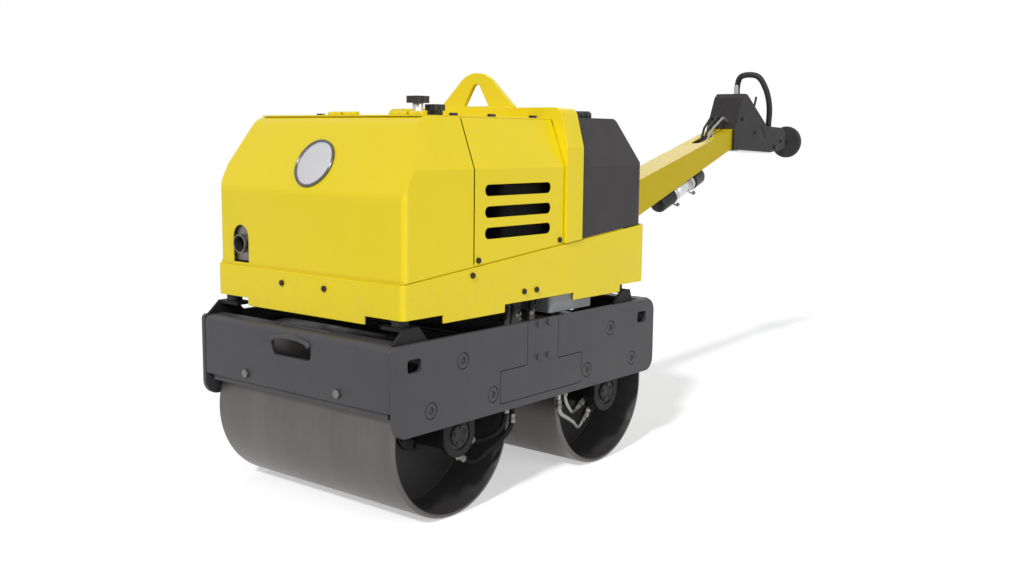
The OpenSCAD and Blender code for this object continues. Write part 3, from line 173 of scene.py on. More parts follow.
def gloss_paint(name, color, dust, dark, coat=0.10, spec=0.42):
    """Gloss paint on sheet metal: orange peel, slight colour drift and a little dust low down."""
    m = Mat(name)
    drift = m.ramp(m.noise(4, 3), [(0.3, 0), (0.7, 1)])
    base = m.mix(drift, color, tuple(c * 0.97 for c in color))
    low = m.ramp(m.split()[2], [(0.42, 1), (0.62, 0)])
    specks = m.ramp(m.noise(26, 6, 0.7), [(0.5, 0), (0.72, 1)])
    base = m.mix(m.math("MULTIPLY", m.math("MULTIPLY", low, specks), 0.22), base, dust)
    smudge = m.ramp(m.noise(11, 5, 0.6, distort=0.4), [(0.58, 0), (0.82, 1)])
    base = m.mix(m.math("MULTIPLY", smudge, 0.07), base, dark)
    peel = m.bump(m.noise(420, 2), 0.05, 0.0004)
    rough = m.ramp(m.noise(9, 4), [(0.3, 0.34), (0.7, 0.42)])
    return m.finish(base, rough, 0.0, peel, coat=coat, coat_rough=0.16, spec=spec)


def powder_coat(name, color, rough_lo, rough_hi, wear, spec=0.4):
    """Satin powder coat: fine grain, a slow drift of tone, faint dust and thin wear on the edges."""
    m = Mat(name)
    drift = m.ramp(m.noise(3.5, 3), [(0.3, 0), (0.7, 1)])
    base = m.mix(drift, color, tuple(c * 1.10 for c in color))
    dust = m.ramp(m.noise(15, 6, 0.7, distort=0.3), [(0.55, 0), (0.85, 1)])
    base = m.mix(m.math("MULTIPLY", dust, 0.05), base, (0.20, 0.19, 0.18))
    edge = m.pointiness(0.525, 0.60)
    chips = m.ramp(m.noise(60, 5, 0.7), [(0.50, 0), (0.66, 1)])
    base = m.mix(m.math("MULTIPLY", m.math("MULTIPLY", edge, chips), wear), base, (0.24, 0.24, 0.24))
    grain = m.bump(m.noise(800, 2), 0.10, 0.0002)
    rough = m.ramp(m.noise(10, 4), [(0.3, rough_lo), (0.7, rough_hi)])
    return m.finish(base, rough, 0.0, grain, spec=spec)


def drum_steel(name, axle_y):
    """Rolled steel, lightly scored round the drum; the inside of the shell is dark paint, made near black as
    painted shade.
    """
    m = Mat(name)
    xyz = m.split()
    dy = m.math("SUBTRACT", xyz[1], axle_y)
    dz = m.math("SUBTRACT", xyz[2], DRUM_R)
    radius = m.math("SQRT", m.math("ADD", m.math("MULTIPLY", dy, dy), m.math("MULTIPLY", dz, dz)))
    fine = m.noise(1, 6, 0.7, m.mapping((240, 4, 4)))
    broad = m.noise(1, 4, 0.6, m.mapping((14, 2.2, 2.2)))
    patch = m.noise(5, 5, 0.6, distort=0.6)
    steel = m.mix(m.ramp(broad, [(0.3, 0), (0.7, 1)]), (0.115, 0.105, 0.104), (0.140, 0.129, 0.128))
    steel = m.mix(m.math("MULTIPLY", m.ramp(fine, [(0.40, 0), (0.80, 1)]), 0.16), steel, (0.25, 0.238, 0.234))
    steel = m.mix(m.math("MULTIPLY", m.ramp(patch, [(0.5, 0), (0.8, 1)]), 0.22), steel, (0.098, 0.086, 0.084))
    # Inside the shell: dark paint made near black, partly real paint and partly painted shade for the dim
    # inside of the drum.
    inner = m.ramp(radius, [(0.1985, 1), (0.2015, 0)])
    paint = m.mix(m.ramp(m.noise(9, 5, 0.65), [(0.35, 0), (0.75, 1)]),
                  (0.0075, 0.0075, 0.0085), (0.016, 0.015, 0.016))
    base = m.mix(inner, steel, paint)
    rough = m.ramp(fine, [(0.25, 0.36), (0.8, 0.48)])
    rough = m.mix(inner, rough, (0.55, 0.55, 0.55))
    normal = m.bump(fine, 0.10, 0.0003)
    metal = m.math("SUBTRACT", 1.0, inner, True)
    mat = m.finish(base, rough, 0.0, normal)
    m.link(m.math("MULTIPLY", metal, 0.85), m.p.inputs["Metallic"])
    return mat


def metal(name, color, rough_lo, rough_hi, scratch, stretch=(1, 1, 1), metallic=0.95, stain=None):
    """Bare metal with fine marks stretched along one way, and an optional stain."""
    m = Mat(name)
    marks = m.noise(scratch, 5, 0.65, m.mapping(stretch))
    base = m.mix(m.ramp(marks, [(0.35, 0), (0.7, 1)]), color, tuple(c * 0.78 for c in color))
    if stain:
        spots = m.ramp(m.noise(24, 6, 0.7, distort=0.5), [(0.5, 0), (0.74, 1)])
        base = m.mix(m.math("MULTIPLY", spots, 0.5), base, stain)
    rough = m.ramp(marks, [(0.3, rough_lo), (0.75, rough_hi)])
    normal = m.bump(marks, 0.12, 0.0003)
    return m.finish(base, rough, metallic, normal)


def cast(name, color):
    """Sand cast iron, painted: lumpy, matt and a little oily."""
    m = Mat(name)
    lumps = m.noise(160, 4, 0.6)
    base = m.mix(m.ramp(m.noise(14, 5), [(0.35, 0), (0.7, 1)]), color, tuple(c * 1.45 for c in color))
    rough = m.ramp(m.noise(20, 4), [(0.3, 0.42), (0.7, 0.66)])
    return m.finish(base, rough, 0.15, m.bump(lumps, 0.5, 0.0008), spec=0.3)


def moulded(name, color, rough, grain=900, strength=0.25, drift_to=1.35, spec=0.4):
    """Moulded plastic or rubber with a fine grain and worn, lighter patches."""
    m = Mat(name)
    drift = m.ramp(m.noise(8, 5, 0.6), [(0.35, 0), (0.75, 1)])
    base = m.mix(drift, color, tuple(c * drift_to for c in color))
    scuff = m.ramp(m.noise(60, 6, 0.75, m.mapping((1, 0.35, 1))), [(0.6, 0), (0.75, 1)])
    base = m.mix(m.math("MULTIPLY", scuff, 0.25), base, tuple(min(1, c * 2.0 + 0.01) for c in color))
    cells = m.voronoi(grain)
    level = m.ramp(m.noise(12, 4), [(0.3, rough - 0.06), (0.7, rough + 0.06)])
    return m.finish(base, level, 0.0, m.bump(cells, strength, 0.00025), spec=spec)


YELLOW = (0.830, 0.650, 0.004)
yellow = gloss_paint("yellow_gloss_paint", YELLOW, (0.40, 0.36, 0.22), (0.56, 0.44, 0.02))
# The beam gets the body yellow made darker: painted shade for the light falling off towards the rear, not a
# paint of its own.
beam_shaded_yellow = gloss_paint("beam_shaded_yellow_paint", (0.60, 0.455, 0.005), (0.34, 0.30, 0.18),
                          (0.42, 0.32, 0.02), 0.0, 0.16)
plate_grey = powder_coat("plate_powder_coat", (0.047, 0.046, 0.050), 0.44, 0.54, 0.10)
cover_grey = powder_coat("cover_powder_coat", (0.047, 0.046, 0.050), 0.42, 0.52, 0.12)
head_grey = powder_coat("head_powder_coat", (0.018, 0.016, 0.016), 0.46, 0.56, 0.10, 0.25)
arm_grey = powder_coat("arm_powder_coat", (0.009, 0.009, 0.0095), 0.5, 0.65, 0.12, 0.2)
deck_grey = powder_coat("deck_powder_coat", (0.008, 0.008, 0.0085), 0.5, 0.65, 0.1, 0.2)
drum_front = drum_steel("drum_steel_front", DRUM_Y["front"])
drum_rear = drum_steel("drum_steel_rear", DRUM_Y["rear"])
cast_grey = cast("cast_painted_iron", (0.014, 0.014, 0.015))
machined = metal("machined_steel", (0.50, 0.50, 0.51), 0.22, 0.38, 300, (1, 30, 30))
zinc = metal("zinc_plated_steel", (0.62, 0.61, 0.58), 0.28, 0.46, 120, stain=(0.36, 0.33, 0.27))
worn_zinc = metal("worn_zinc_fittings", (0.22, 0.215, 0.20), 0.30, 0.48, 130, stain=(0.08, 0.07, 0.06))
pipe_zinc = metal("plated_pipe", (0.33, 0.325, 0.31), 0.28, 0.42, 90, stain=(0.12, 0.11, 0.09))
dark_bolt = metal("blackened_bolt_steel", (0.024, 0.022, 0.022), 0.34, 0.5, 160, metallic=0.6)
rubber = moulded("black_rubber", (0.012, 0.012, 0.013), 0.62, 600, 0.3)
plastic = moulded("black_moulded_plastic", (0.012, 0.012, 0.013), 0.42)
# Black plastic made darker than the other black plastic: painted shade, so the parts deep inside the machine
# read as in shadow.
shade_dark_plastic = moulded("shaded_dull_black_plastic", (0.005, 0.005, 0.0055), 0.7, spec=0.15)
tank_grey = moulded("tank_moulded_plastic", (0.038, 0.035, 0.036), 0.54, 700, 0.3, 1.08, 0.25)
oil_grey = powder_coat("oil_tank_paint", (0.20, 0.205, 0.21), 0.36, 0.5, 0.4)
aluminium = metal("brushed_aluminium", (0.70, 0.71, 0.72), 0.24, 0.4, 260, (30, 1, 30))
exhaust = metal("heat_stained_steel", (0.24, 0.23, 0.22), 0.34, 0.55, 90, stain=(0.10, 0.08, 0.06))
cable_grey = metal("cable_sleeve", (0.34, 0.34, 0.35), 0.35, 0.5, 240, metallic=0.6)
badge_face = metal("badge_lacquer", (0.66, 0.66, 0.68), 0.34, 0.46, 700, (1, 1, 1), 0.75)
badge_edge = moulded("badge_back", (0.05, 0.05, 0.052), 0.4, 1400, 0.1, 1.05)
chrome = metal("dark_polished_rim", (0.16, 0.16, 0.165), 0.14, 0.24, 200, metallic=1.0)

LOOKS = {
    "side_plate_right": plate_grey, "side_plate_left": plate_grey, "front_plate": plate_grey,
    "rear_plate": plate_grey, "crossmember": plate_grey, "access_covers": cover_grey,
    "chassis_bolts": plate_grey, "drum_arms": arm_grey, "drive_motors": cast_grey,
    "motor_pipes": zinc, "axle_stubs": machined, "front_drum": drum_front,
    "front_hubs": cast_grey, "rear_drum": drum_rear, "rear_hubs": cast_grey,
    "scraper_holders": plate_grey, "scraper_blades": rubber, "spray_bars": plastic,
    "corner_posts": arm_grey, "buffers": rubber, "exciter_shaft": machined,
    "exciter_pulley": cast_grey, "exciter_bearings": machined, "drive_belt": rubber,
    "deck": deck_grey, "oil_tank": oil_grey, "hoses": rubber, "engine_block": cast_grey,
    "crankshaft": machined, "crank_pulley": cast_grey, "muffler": exhaust, "air_filter": shade_dark_plastic,
    "fuel_tank": shade_dark_plastic, "oil_pump": cast_grey, "skirt": yellow, "hood": yellow,
    "badge": badge_edge, "side_panel_right": yellow, "side_panel_left": yellow, "roof": yellow,
    "lifting_eye": yellow, "hood_hinges": yellow, "body_bolts": dark_bolt,
    "water_tank": tank_grey, "water_cap": plastic, "tap_body": zinc, "tap_knob": plastic,
    "filler_cap": plastic, "handle_bracket": cover_grey, "handle_pin": machined,
    "handle_beam": beam_shaded_yellow, "document_tube": aluminium, "tube_fittings": plastic,
    "control_cables": cable_grey, "control_head": head_grey, "head_base": aluminium,
    "control_loop": rubber, "crash_button": rubber, "throttle_lever": machined,
    "vibration_lever": rubber,
}

# Width of the rounded edge on each CAD node, in metres
EDGE = {
    "hood": 0.0012, "roof": 0.0012, "skirt": 0.0016, "side_panel_right": 0.0010,
    "side_panel_left": 0.0010, "lifting_eye": 0.0025, "water_tank": 0.0022,
    "control_head": 0.0045, "side_plate_right": 0.0016, "side_plate_left": 0.0016,
    "front_plate": 0.0050, "rear_plate": 0.0050, "access_covers": 0.0010, "drum_arms": 0.0014,
    "corner_posts": 0.0012, "buffers": 0.0015, "water_cap": 0.0012, "tap_knob": 0.0014,
    "filler_cap": 0.0014, "tap_body": 0.001, "crash_button": 0.0015, "handle_bracket": 0.0014,
    "tube_fittings": 0.0012, "deck": 0.001, "oil_tank": 0.002, "drive_motors": 0.0015,
    "front_hubs": 0.001, "rear_hubs": 0.001, "front_drum": 0.0015, "rear_drum": 0.0015,
}


def soften(obj, width):
    """Welds the imported mesh and rounds its hard edges, so that they catch the light."""
    weld = obj.modifiers.new("weld", "WELD")
    weld.merge_threshold = 0.00002
    bevel = obj.modifiers.new("edge", "BEVEL")
    bevel.width = width
    bevel.segments = 2
    bevel.limit_method = "ANGLE"
    bevel.angle_limit = math.radians(28)
    bevel.use_clamp_overlap = True
    bevel.harden_normals = True
    bevel.miter_outer = "MITER_ARC"


def two_looks(obj, first, second, pick):
    """Gives the first look to a node and the second to the faces that pick takes by their middle."""
    obj.data.materials.clear()
    obj.data.materials.append(first)
    obj.data.materials.append(second)
    for poly in obj.data.polygons:
        poly.material_index = 1 if pick(obj.matrix_world @ poly.center) else 0


for name, obj in NODES.items():
    obj.data.materials.clear()
    obj.data.materials.append(LOOKS[name])
    if name in EDGE:
        soften(obj, EDGE[name])

# The front and rear plates' bolts are plated; one of the cables has a grey sleeve
two_looks(NODES["chassis_bolts"], plate_grey, worn_zinc, lambda p: abs(p.x) < 0.3)
two_looks(NODES["control_cables"], rubber, cable_grey, lambda p: 0.003 < p.x < 0.03)


# Pieces

def piece(name, bm, look, body, smooth=True):
    """Makes an object from a bmesh, with its look, body and material slot."""
    me = bpy.data.meshes.new(name)
    bmesh.ops.recalc_face_normals(bm, faces=bm.faces)
    bm.to_mesh(me)
    bm.free()
    for poly in me.polygons:
        poly.use_smooth = smooth
    obj = bpy.data.objects.new(name, me)
    bpy.context.scene.collection.objects.link(obj)
    me.materials.append(look)
    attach(obj, body)
    return obj


UP = Vector((0, 0, 1))


def basis(direction, up=UP):
    """A rotation whose Z is the direction."""
    z = Vector(direction).normalized()
    if abs(z.dot(up)) > 0.99:
        up = Vector((0, 1, 0))
    x = up.cross(z).normalized()
    y = z.cross(x)
    return Matrix((x, y, z)).transposed().to_4x4()


def lathe(bm, profile, place, turns=32):
    """Turns a profile of (radius, height) about Z and moves it by the matrix."""
    rings = []
    for r, h in profile:
        if r < 1e-7:
            rings.append([bm.verts.new(place @ Vector((0, 0, h)))])
        else:
            rings.append([bm.verts.new(place @ Vector((
                r * math.cos(2 * math.pi * i / turns), r * math.sin(2 * math.pi * i / turns), h)))
                for i in range(turns)])
    for a, b in zip(rings, rings[1:]):
        for i in range(turns):
            j = (i + 1) % turns
            if len(a) == 1 and len(b) == 1:
                continue
            if len(a) == 1:
                bm.faces.new((a[0], b[i], b[j]))
            elif len(b) == 1:
                bm.faces.new((a[i], b[0], a[j]))
            else:
                bm.faces.new((a[i], b[i], b[j], a[j]))


def hex_head(bm, place, size, height):
    """A bolt head with chamfered corners on a thin washer."""
    washer = size * 0.72
    lathe(bm, [(0, 0), (washer, 0), (washer, height * 0.18), (size * 0.5, height * 0.18)], place, 24)
    h0 = height * 0.18
    rings = []
    for r, h in ((size * 0.577, h0), (size * 0.577, height * 0.85), (size * 0.5, height)):
        rings.append([bm.verts.new(place @ Vector((
            r * math.cos(math.pi * i / 3), r * math.sin(math.pi * i / 3), h))) for i in range(6)])
    for a, b in zip(rings, rings[1:]):
        for i in range(6):
            bm.faces.new((a[i], b[i], b[(i + 1) % 6], a[(i + 1) % 6]))
    bm.faces.new(rings[-1])


def rounded_path(points, radius, steps=6):
    """The points of a line whose corners are rounded."""
    pts = [Vector(q) for q in points]
    out = [pts[0]]
    for a, b, c in zip(pts, pts[1:], pts[2:]):
        cut = min(radius, (b - a).length / 2, (c - b).length / 2)
        s0 = b + (a - b).normalized() * cut
        s1 = b + (c - b).normalized() * cut
        for i in range(steps + 1):
            t = i / steps
            out.append((1 - t) ** 2 * s0 + 2 * t * (1 - t) * b + t * t * s1)
    out.append(pts[-1])
    return out


def smooth_loop(points, per=8):
    """A closed smooth curve through the points."""
    pts = [Vector(q) for q in points]
    n = len(pts)
    out = []
    for i in range(n):
        p0, p1, p2, p3 = pts[i - 1], pts[i], pts[(i + 1) % n], pts[(i + 2) % n]
        for k in range(per):
            t = k / per
            out.append(0.5 * (2 * p1 + (p2 - p0) * t + (2 * p0 - 5 * p1 + 4 * p2 - p3) * t * t
                              + (3 * p1 - p0 - 3 * p2 + p3) * t ** 3))
    return out


def sweep(bm, path, radius, sides=14, closed=False):
    """A tube along the path, with capped ends or, where closed, joined to itself."""
    n = len(path)
    rings = []
    side = None
    for i, q in enumerate(path):
        if closed:
            way = (path[(i + 1) % n] - path[i - 1]).normalized()
        else:
            way = (path[min(i + 1, n - 1)] - path[max(i - 1, 0)]).normalized()
        if side is None:
            side = way.cross(Vector((0.3, 0.2, 1))).normalized()
        side = (side - way * side.dot(way)).normalized()
        other = way.cross(side)
        rings.append([bm.verts.new(q + side * (radius * math.cos(2 * math.pi * k / sides))
                                   + other * (radius * math.sin(2 * math.pi * k / sides)))
                      for k in range(sides)])
    pairs = list(zip(rings, rings[1:]))
    if closed:
        pairs.append((rings[-1], rings[0]))
    for a, b in pairs:
        for k in range(sides):
            bm.faces.new((a[k], b[k], b[(k + 1) % sides], a[(k + 1) % sides]))
    if not closed:
        bm.faces.new(rings[0][::-1])
        bm.faces.new(rings[-1])


def fitting(bm, start, way, size=0.0105):
    """A pipe fitting: a hexagon nut, a collar and a smaller nut along one way."""
    place = Matrix.Translation(start) @ basis(way)
    for low, high, r, sides in ((0.0, 0.010, size, 6), (0.010, 0.0135, size * 0.82, 16),
                                (0.0135, 0.024, size * 0.9, 6)):
        rings = []
        for h, q in ((low, r * 0.9), (low + 0.001, r), (high - 0.001, r), (high, r * 0.9)):
            rings.append([bm.verts.new(place @ Vector((
                q * math.cos(2 * math.pi * i / sides), q * math.sin(2 * math.pi * i / sides), h)))
                for i in range(sides)])
        bm.faces.new(rings[0][::-1])
        for a, b in zip(rings, rings[1:]):
            for i in range(sides):
                bm.faces.new((a[i], b[i], b[(i + 1) % sides], a[(i + 1) % sides]))
        bm.faces.new(rings[-1])


# A dark rim and a domed, bare face on the round plate of the hood
slope = math.atan2(95, HOOD_TOP - HOOD_FOLD)
normal = Vector((0, -math.cos(slope), math.sin(slope)))
along = Vector((0, math.sin(slope), math.cos(slope)))
centre = at(0, HOOD_FRONT, HOOD_FOLD) + along * (0.067 / math.cos(slope)) + normal * 0.003
place = Matrix.Translation(centre) @ basis(normal)
bm = bmesh.new()
lathe(bm, [(0.0578, 0.0004), (0.0582, 0.0026), (0.0594, 0.0036), (0.0610, 0.0038),
           (0.0628, 0.0032), (0.0638, 0.0018), (0.0640, -0.0024)], place, 96)
piece("badge_rim", bm, chrome, "hood")
bm = bmesh.new()
lathe(bm, [(0, 0.0042), (0.015, 0.0040), (0.030, 0.0034), (0.042, 0.0026), (0.051, 0.0018),
           (0.0560, 0.0011), (0.0576, 0.0004)], place, 96)
piece("badge_dome", bm, badge_face, "hood")

# Wheel motor lines: steel pipes behind, black hoses in front, with their fittings
LINES = (
    ((300, -24, -45), (300, -34, -63), (306, -84, -100), (334, -150, -60), (334, -213, -25),
     (334, -213, 200)),
    ((300, -46, -20), (300, -64, -28), (306, -112, -48), (334, -160, -30), (334, -187, 5),
     (334, -187, 200)),
)
rear = bmesh.new()
front = bmesh.new()
ends = bmesh.new()
for sign, bm, radius in ((1, rear, 0.006), (-1, front, 0.0066)):
    for line in LINES:
        pts = [at(x, sign * (AXLE_Y + y), AXLE_Z + z) for x, y, z in line]
        sweep(bm, rounded_path(pts, 0.024), radius)
        way = (pts[2] - pts[1]).normalized()
        fitting(ends, pts[0] + (pts[1] - pts[0]) * 0.5, (pts[1] - pts[0]).normalized(), 0.0125)
        fitting(ends, pts[1] + way * 0.010, way)
        fitting(ends, pts[4] + UP * 0.012, UP)
rear_pipes = piece("rear_motor_pipes", rear, pipe_zinc, "chassis")
front_hoses = piece("front_motor_hoses", front, shade_dark_plastic, "chassis")
fittings = piece("motor_fittings", ends, worn_zinc, "chassis", smooth=False)
for obj in (rear_pipes, front_hoses, fittings):
    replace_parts(obj, "motor_pipes")

# End covers of the wheel motors, with their screws
bm = bmesh.new()
screws = bmesh.new()
for y in (-AXLE_Y, AXLE_Y):
    face = Matrix.Translation(at(339, y, 209)) @ basis(Vector((1, 0, 0)))
    lathe(bm, [(0, 0), (0.0285, 0), (0.0285, 0.006), (0.026, 0.0085), (0.016, 0.0095),
               (0.013, 0.0075), (0, 0.0075)], face, 40)
    for k in range(5):
        a = math.radians(72 * k + 20)
        spot = at(347.0, y + 21 * math.cos(a), 209 + 21 * math.sin(a))
        hex_head(screws, Matrix.Translation(spot) @ basis(Vector((1, 0, 0))), 0.0075, 0.0045)
piece("motor_covers", bm, cast_grey, "chassis")
piece("motor_cover_screws", screws, dark_bolt, "chassis", smooth=False)

# The control loop: an egg-shaped grip on its hub and shaft
LEAN = math.radians(LOOP_LEAN)


def on_loop(x, z):
    """A point of the loop's leaning plane, x across and z up from its shaft, in mm."""
    return at(x, LOOP_Y - z * math.sin(LEAN), LOOP_Z + z * math.cos(LEAN))


bm = bmesh.new()
egg = [(-30, 0), (30, 0), (55, 62), (67, 135), (60, 200),
       (33, 246), (-33, 246), (-60, 200), (-67, 135), (-55, 62)]
sweep(bm, smooth_loop([on_loop(x, z) for x, z in egg]), 0.0113, 18, True)
shaft = Matrix.Translation(at(-HEAD_X, LOOP_Y, LOOP_Z)) @ basis(Vector((1, 0, 0)))
lathe(bm, [(0, 0), (0.007, 0), (0.007, 0.027), (0.011, 0.027), (0.013, 0.029), (0.013, 0.093),
           (0.011, 0.095), (0.007, 0.095), (0.007, 0.122), (0, 0.122)], shaft, 28)
grip = piece("loop_grip", bm, rubber, "loop")
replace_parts(grip, "control_loop")

# A rolled lip above the grip slot of the front plate and of the rear plate
bm = bmesh.new()
ARCH = ((-70, 421), (-66, 429), (-40, 436), (0, 439), (40, 436), (66, 429), (70, 421))
for y, sign in ((-545.5, -1), (538.5, 1)):
    lip = [at(x, y + sign * 1.5, z) for x, z in ARCH]
    sweep(bm, rounded_path(lip, 0.02), 0.0062, 12)
piece("grip_lips", bm, plate_grey, "chassis")

# The skirt's inner lip, seen through the seam below the hood and the panels
bm = bmesh.new()
plan = ((-333, 480), (-333, HOOD_FRONT), (333, HOOD_FRONT), (333, 480))
low, high = [], []
for (x0, y0), (x1, y1) in zip(plan, plan[1:]):
    for i in range(12):
        x, y = x0 + (x1 - x0) * i / 12, y0 + (y1 - y0) * i / 12
        z = SKIRT_TOP + (y + SKIRT_FRONT) * math.tan(math.radians(SKIRT_SLOPE))
        low.append(bm.verts.new(at(x, y, z - 9)))
        high.append(bm.verts.new(at(x, y, z + 8)))
for a, b, c, d in zip(low, low[1:], high[1:], high):
    bm.faces.new((a, b, c, d))
piece("skirt_inner_lip", bm, yellow, "chassis", smooth=False)

# Hoses between the crossmember and the deck, with their fittings
hose = bmesh.new()
ends = bmesh.new()
for x, y, dx, dy in ((305, -58, -8, 26), (292, -28, 12, -18), (308, 4, -14, 22), (288, 34, 10, 12)):
    pts = [at(x, y, MEMBER_TOP), at(x, y, 468), at(x + dx, y + dy, 492), at(x + dx, y + dy, DECK_Z)]
    sweep(hose, rounded_path(pts, 0.014), 0.0075)
    fitting(ends, at(x, y, MEMBER_TOP), UP, 0.0115)
piece("deck_hoses", hose, rubber, "chassis")
piece("deck_hose_fittings", ends, worn_zinc, "chassis", smooth=False)

# Document tube under the beam: the tube, its two caps, and the two bands with their screws
RISE = math.radians(BEAM_RISE)
TAPER = math.atan2((BEAM_ROOT - BEAM_TIP) / 2, BEAM_LEN)


def under_beam(x, s, drop):
    """A point s along the beam and drop below its underside, in mm."""
    y = s * math.cos(TAPER) + drop * math.sin(TAPER)
    z = s * math.sin(TAPER) - drop * math.cos(TAPER) - BEAM_ROOT / 2
    return at(x, PIVOT_Y + y * math.cos(RISE) - z * math.sin(RISE),
              PIVOT_Z + y * math.sin(RISE) + z * math.cos(RISE))


def beam_tube(bm, start, profile):
    """Revolves a profile of (distance, radius) in mm about the document tube's axis."""
    way = (under_beam(0, 800, TUBE_DROP) - under_beam(0, 500, TUBE_DROP)).normalized()
    place = Matrix.Translation(under_beam(0, start, TUBE_DROP)) @ basis(way)
    lathe(bm, [(r / 1000, d / 1000) for d, r in profile], place, 44)


tube = bmesh.new()
beam_tube(tube, 596, [(0, 0), (0, 30), (160, 30), (160, 0)])
caps = bmesh.new()
beam_tube(caps, 517, [(0, 0), (0, 24), (3, 30), (9, 33), (80, 33), (81.5, 34), (86, 34),
                      (86, 30.2), (86, 0)])
beam_tube(caps, 750, [(0, 0), (0, 30.2), (0, 34), (4.5, 34), (6, 33), (59, 33), (65, 30),
                      (68, 24), (68, 0)])
bands = bmesh.new()
clips = bmesh.new()
for s in (611, 728):
    beam_tube(bands, s, [(0, 29.9), (0, 31), (0.5, 31.6), (13.5, 31.6), (14, 31), (14, 29.9),
                         (0, 29.9)])
    hook = [under_beam(x, s + 7, d) for x, d in ((-5, 1), (-5, 8), (5, 8), (5, 1))]
    sweep(bands, rounded_path(hook, 0.003), 0.0035, 10)
    tail = [under_beam(x, s + 7, d) for x, d in ((2, 69), (4, 76), (16, 80), (22, 76))]
    sweep(bands, rounded_path(tail, 0.005), 0.0034, 10)
    way = (under_beam(1, s, 60) - under_beam(0, s, 60)).normalized()
    hex_head(clips, Matrix.Translation(under_beam(20, s + 7, 77)) @ basis(way), 0.011, 0.007)
tube = piece("beam_document_tube", tube, aluminium, "handle")
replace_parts(tube, "document_tube")
for name, mesh, mat, slot in (("beam_tube_caps", caps, plastic, "black_plastic"),
                              ("beam_tube_bands", bands, zinc, "zinc"),
                              ("beam_tube_clips", clips, worn_zinc, "zinc")):
    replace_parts(piece(name, mesh, mat, "handle"), "tube_fittings")

# Weld beads at the foot of the lifting eye
bm = bmesh.new()
for y in (EYE_Y - 8.3, EYE_Y + 8.3):
    beads = [at(-132 + 6 * i, y + 0.5 * math.sin(i * 2.3), 1003.6 + 0.4 * math.sin(i * 1.7))
             for i in range(45)]
    sweep(bm, beads, 0.0028, 8)
piece("eye_welds", bm, yellow, "chassis")

# Screws of the control head
bm = bmesh.new()
for y, z, size in ((1617, 1000, 0.012), (1899, 894, 0.014), (1952, 918, 0.011), (1727, 950, 0.010)):
    for x, way in ((HEAD_X, 1), (-HEAD_X, -1)):
        hex_head(bm, Matrix.Translation(at(x, y, z)) @ basis(Vector((way, 0, 0))), size, 0.005)
piece("head_screws", bm, dark_bolt, "handle", smooth=False)


# Camera, from the solved view of the photograph
F_PX, WIDTH = 1113.0, 1024
az, el, roll = math.radians(39.05), math.radians(7.77), math.radians(0.61)
fwd = Vector((-math.sin(az) * math.cos(el), math.cos(az) * math.cos(el), -math.sin(el)))
right = Vector((math.cos(az), math.sin(az), 0))
up = right.cross(fwd)
r2 = right * math.cos(roll) + up * math.sin(roll)
u2 = -right * math.sin(roll) + up * math.cos(roll)
cam_data = bpy.data.cameras.new("camera")
cam = bpy.data.objects.new("camera", cam_data)
bpy.context.scene.collection.objects.link(cam)
cam_data.sensor_fit = "HORIZONTAL"
cam_data.sensor_width = 36.0
cam_data.lens = F_PX * 36.0 / WIDTH
cam_data.clip_end = 200
rot = Matrix((r2, u2, -fwd)).transposed().to_4x4()
cam.matrix_world = Matrix.Translation(at(2088.3, -2268.1, 926.2)) @ rot
bpy.context.scene.camera = cam


# Stage and light

# Strength with which the floor shows white, and the middle, start and slope of its fading out
FLOOR_GLOW = 0.46
FADE_Y, FADE_START, FADE_SLOPE = MID_Y + 1.3, 2.8, 0.6
SUN_FROM = Vector((0.24, -0.74, 0.63))


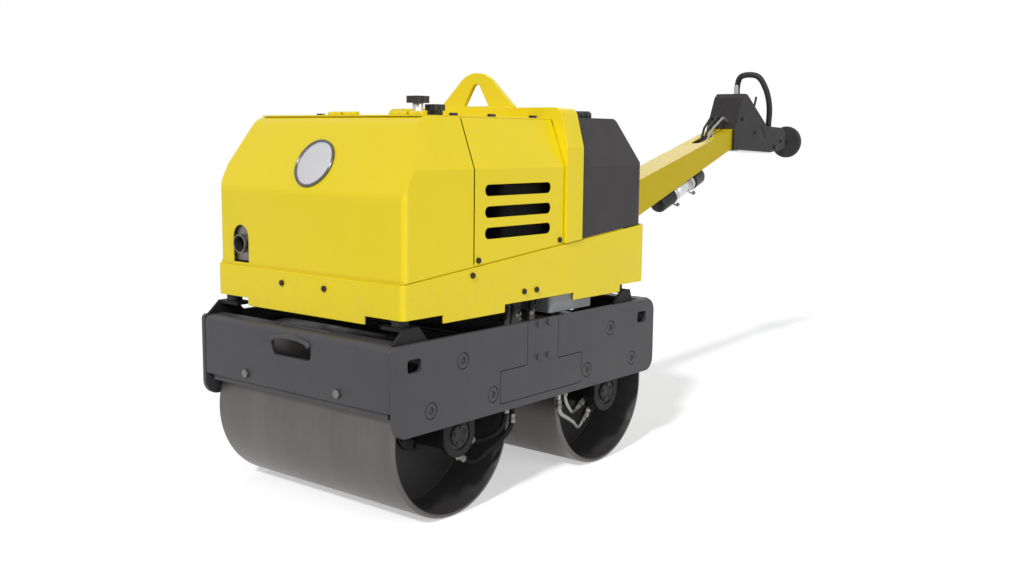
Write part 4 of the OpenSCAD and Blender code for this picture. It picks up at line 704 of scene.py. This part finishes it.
def floor():
    """A pale floor that keeps the shadows and fades out far from the machine."""
    bm = bmesh.new()
    bmesh.ops.create_grid(bm, x_segments=2, y_segments=2, size=60)
    me = bpy.data.meshes.new("floor")
    bm.to_mesh(me)
    bm.free()
    obj = bpy.data.objects.new("floor", me)
    bpy.context.scene.collection.objects.link(obj)
    m = Mat("floor_white")
    t = m.t
    t.nodes.remove(m.p)
    dif = t.nodes.new("ShaderNodeBsdfDiffuse")
    dif.inputs[0].default_value = (0.80, 0.80, 0.80, 1)
    emi = t.nodes.new("ShaderNodeEmission")
    path = t.nodes.new("ShaderNodeLightPath")
    seen = m.math("MAXIMUM", path.outputs["Is Camera Ray"], path.outputs["Is Glossy Ray"])
    m.link(m.math("MULTIPLY", seen, FLOOR_GLOW), emi.inputs["Strength"])
    add = t.nodes.new("ShaderNodeAddShader")
    m.link(dif.outputs[0], add.inputs[0])
    m.link(emi.outputs[0], add.inputs[1])
    xyz = m.split()
    dy = m.math("SUBTRACT", xyz[1], FADE_Y)
    away = m.math("SQRT", m.math("ADD", m.math("MULTIPLY", xyz[0], xyz[0]), m.math("MULTIPLY", dy, dy)))
    fade = m.math("MULTIPLY", m.math("SUBTRACT", away, FADE_START), FADE_SLOPE, True)
    clear = t.nodes.new("ShaderNodeBsdfTransparent")
    mix = t.nodes.new("ShaderNodeMixShader")
    m.link(fade, mix.inputs[0])
    m.link(add.outputs[0], mix.inputs[1])
    m.link(clear.outputs[0], mix.inputs[2])
    m.link(mix.outputs[0], m.out.inputs[0])
    me.materials.append(m.m)


floor()

world = bpy.data.worlds.new("studio")
bpy.context.scene.world = world
world.use_nodes = True
wt = world.node_tree
wt.nodes.clear()
w_out = wt.nodes.new("ShaderNodeOutputWorld")
bg_light = wt.nodes.new("ShaderNodeBackground")
bg_seen = wt.nodes.new("ShaderNodeBackground")
mix = wt.nodes.new("ShaderNodeMixShader")
path = wt.nodes.new("ShaderNodeLightPath")
bg_light.inputs[0].default_value = (0.96, 0.98, 1.0, 1)
bg_light.inputs[1].default_value = 0.25
bg_seen.inputs[0].default_value = (1, 1, 1, 1)
bg_seen.inputs[1].default_value = 1.0
seen = wt.nodes.new("ShaderNodeMath")
seen.operation = "MAXIMUM"
wt.links.new(path.outputs["Is Camera Ray"], seen.inputs[0])
wt.links.new(path.outputs["Is Glossy Ray"], seen.inputs[1])
wt.links.new(seen.outputs[0], mix.inputs[0])
wt.links.new(bg_light.outputs[0], mix.inputs[1])
wt.links.new(bg_seen.outputs[0], mix.inputs[2])
wt.links.new(mix.outputs[0], w_out.inputs[0])


def area(name, place, target, size, power):
    """A rectangular lamp at a place, turned to the target."""
    data = bpy.data.lights.new(name, "AREA")
    data.shape = "RECTANGLE"
    data.size, data.size_y = size
    data.energy = power
    obj = bpy.data.objects.new(name, data)
    bpy.context.scene.collection.objects.link(obj)
    z = (Vector(place) - Vector(target)).normalized()
    obj.matrix_world = Matrix.Translation(Vector(place)) @ basis(z)


middle = (0, MID_Y, 0.6)
key = bpy.data.lights.new("key_sun", "SUN")
key.energy = 2.15
key.angle = math.radians(6)
key_lamp = bpy.data.objects.new("key_sun", key)
bpy.context.scene.collection.objects.link(key_lamp)
key_lamp.matrix_world = Matrix.Translation(at(0, -1500, 4000)) @ basis(SUN_FROM)
area("fill_right", (4.6, MID_Y - 0.8, 2.0), middle, (3.2, 2.8), 78)
area("rim_back", (-1.6, MID_Y + 4.2, 2.6), (0, 0, 0.7), (2.5, 2.0), 30)

bpy.context.scene.view_settings.view_transform = "Standard"
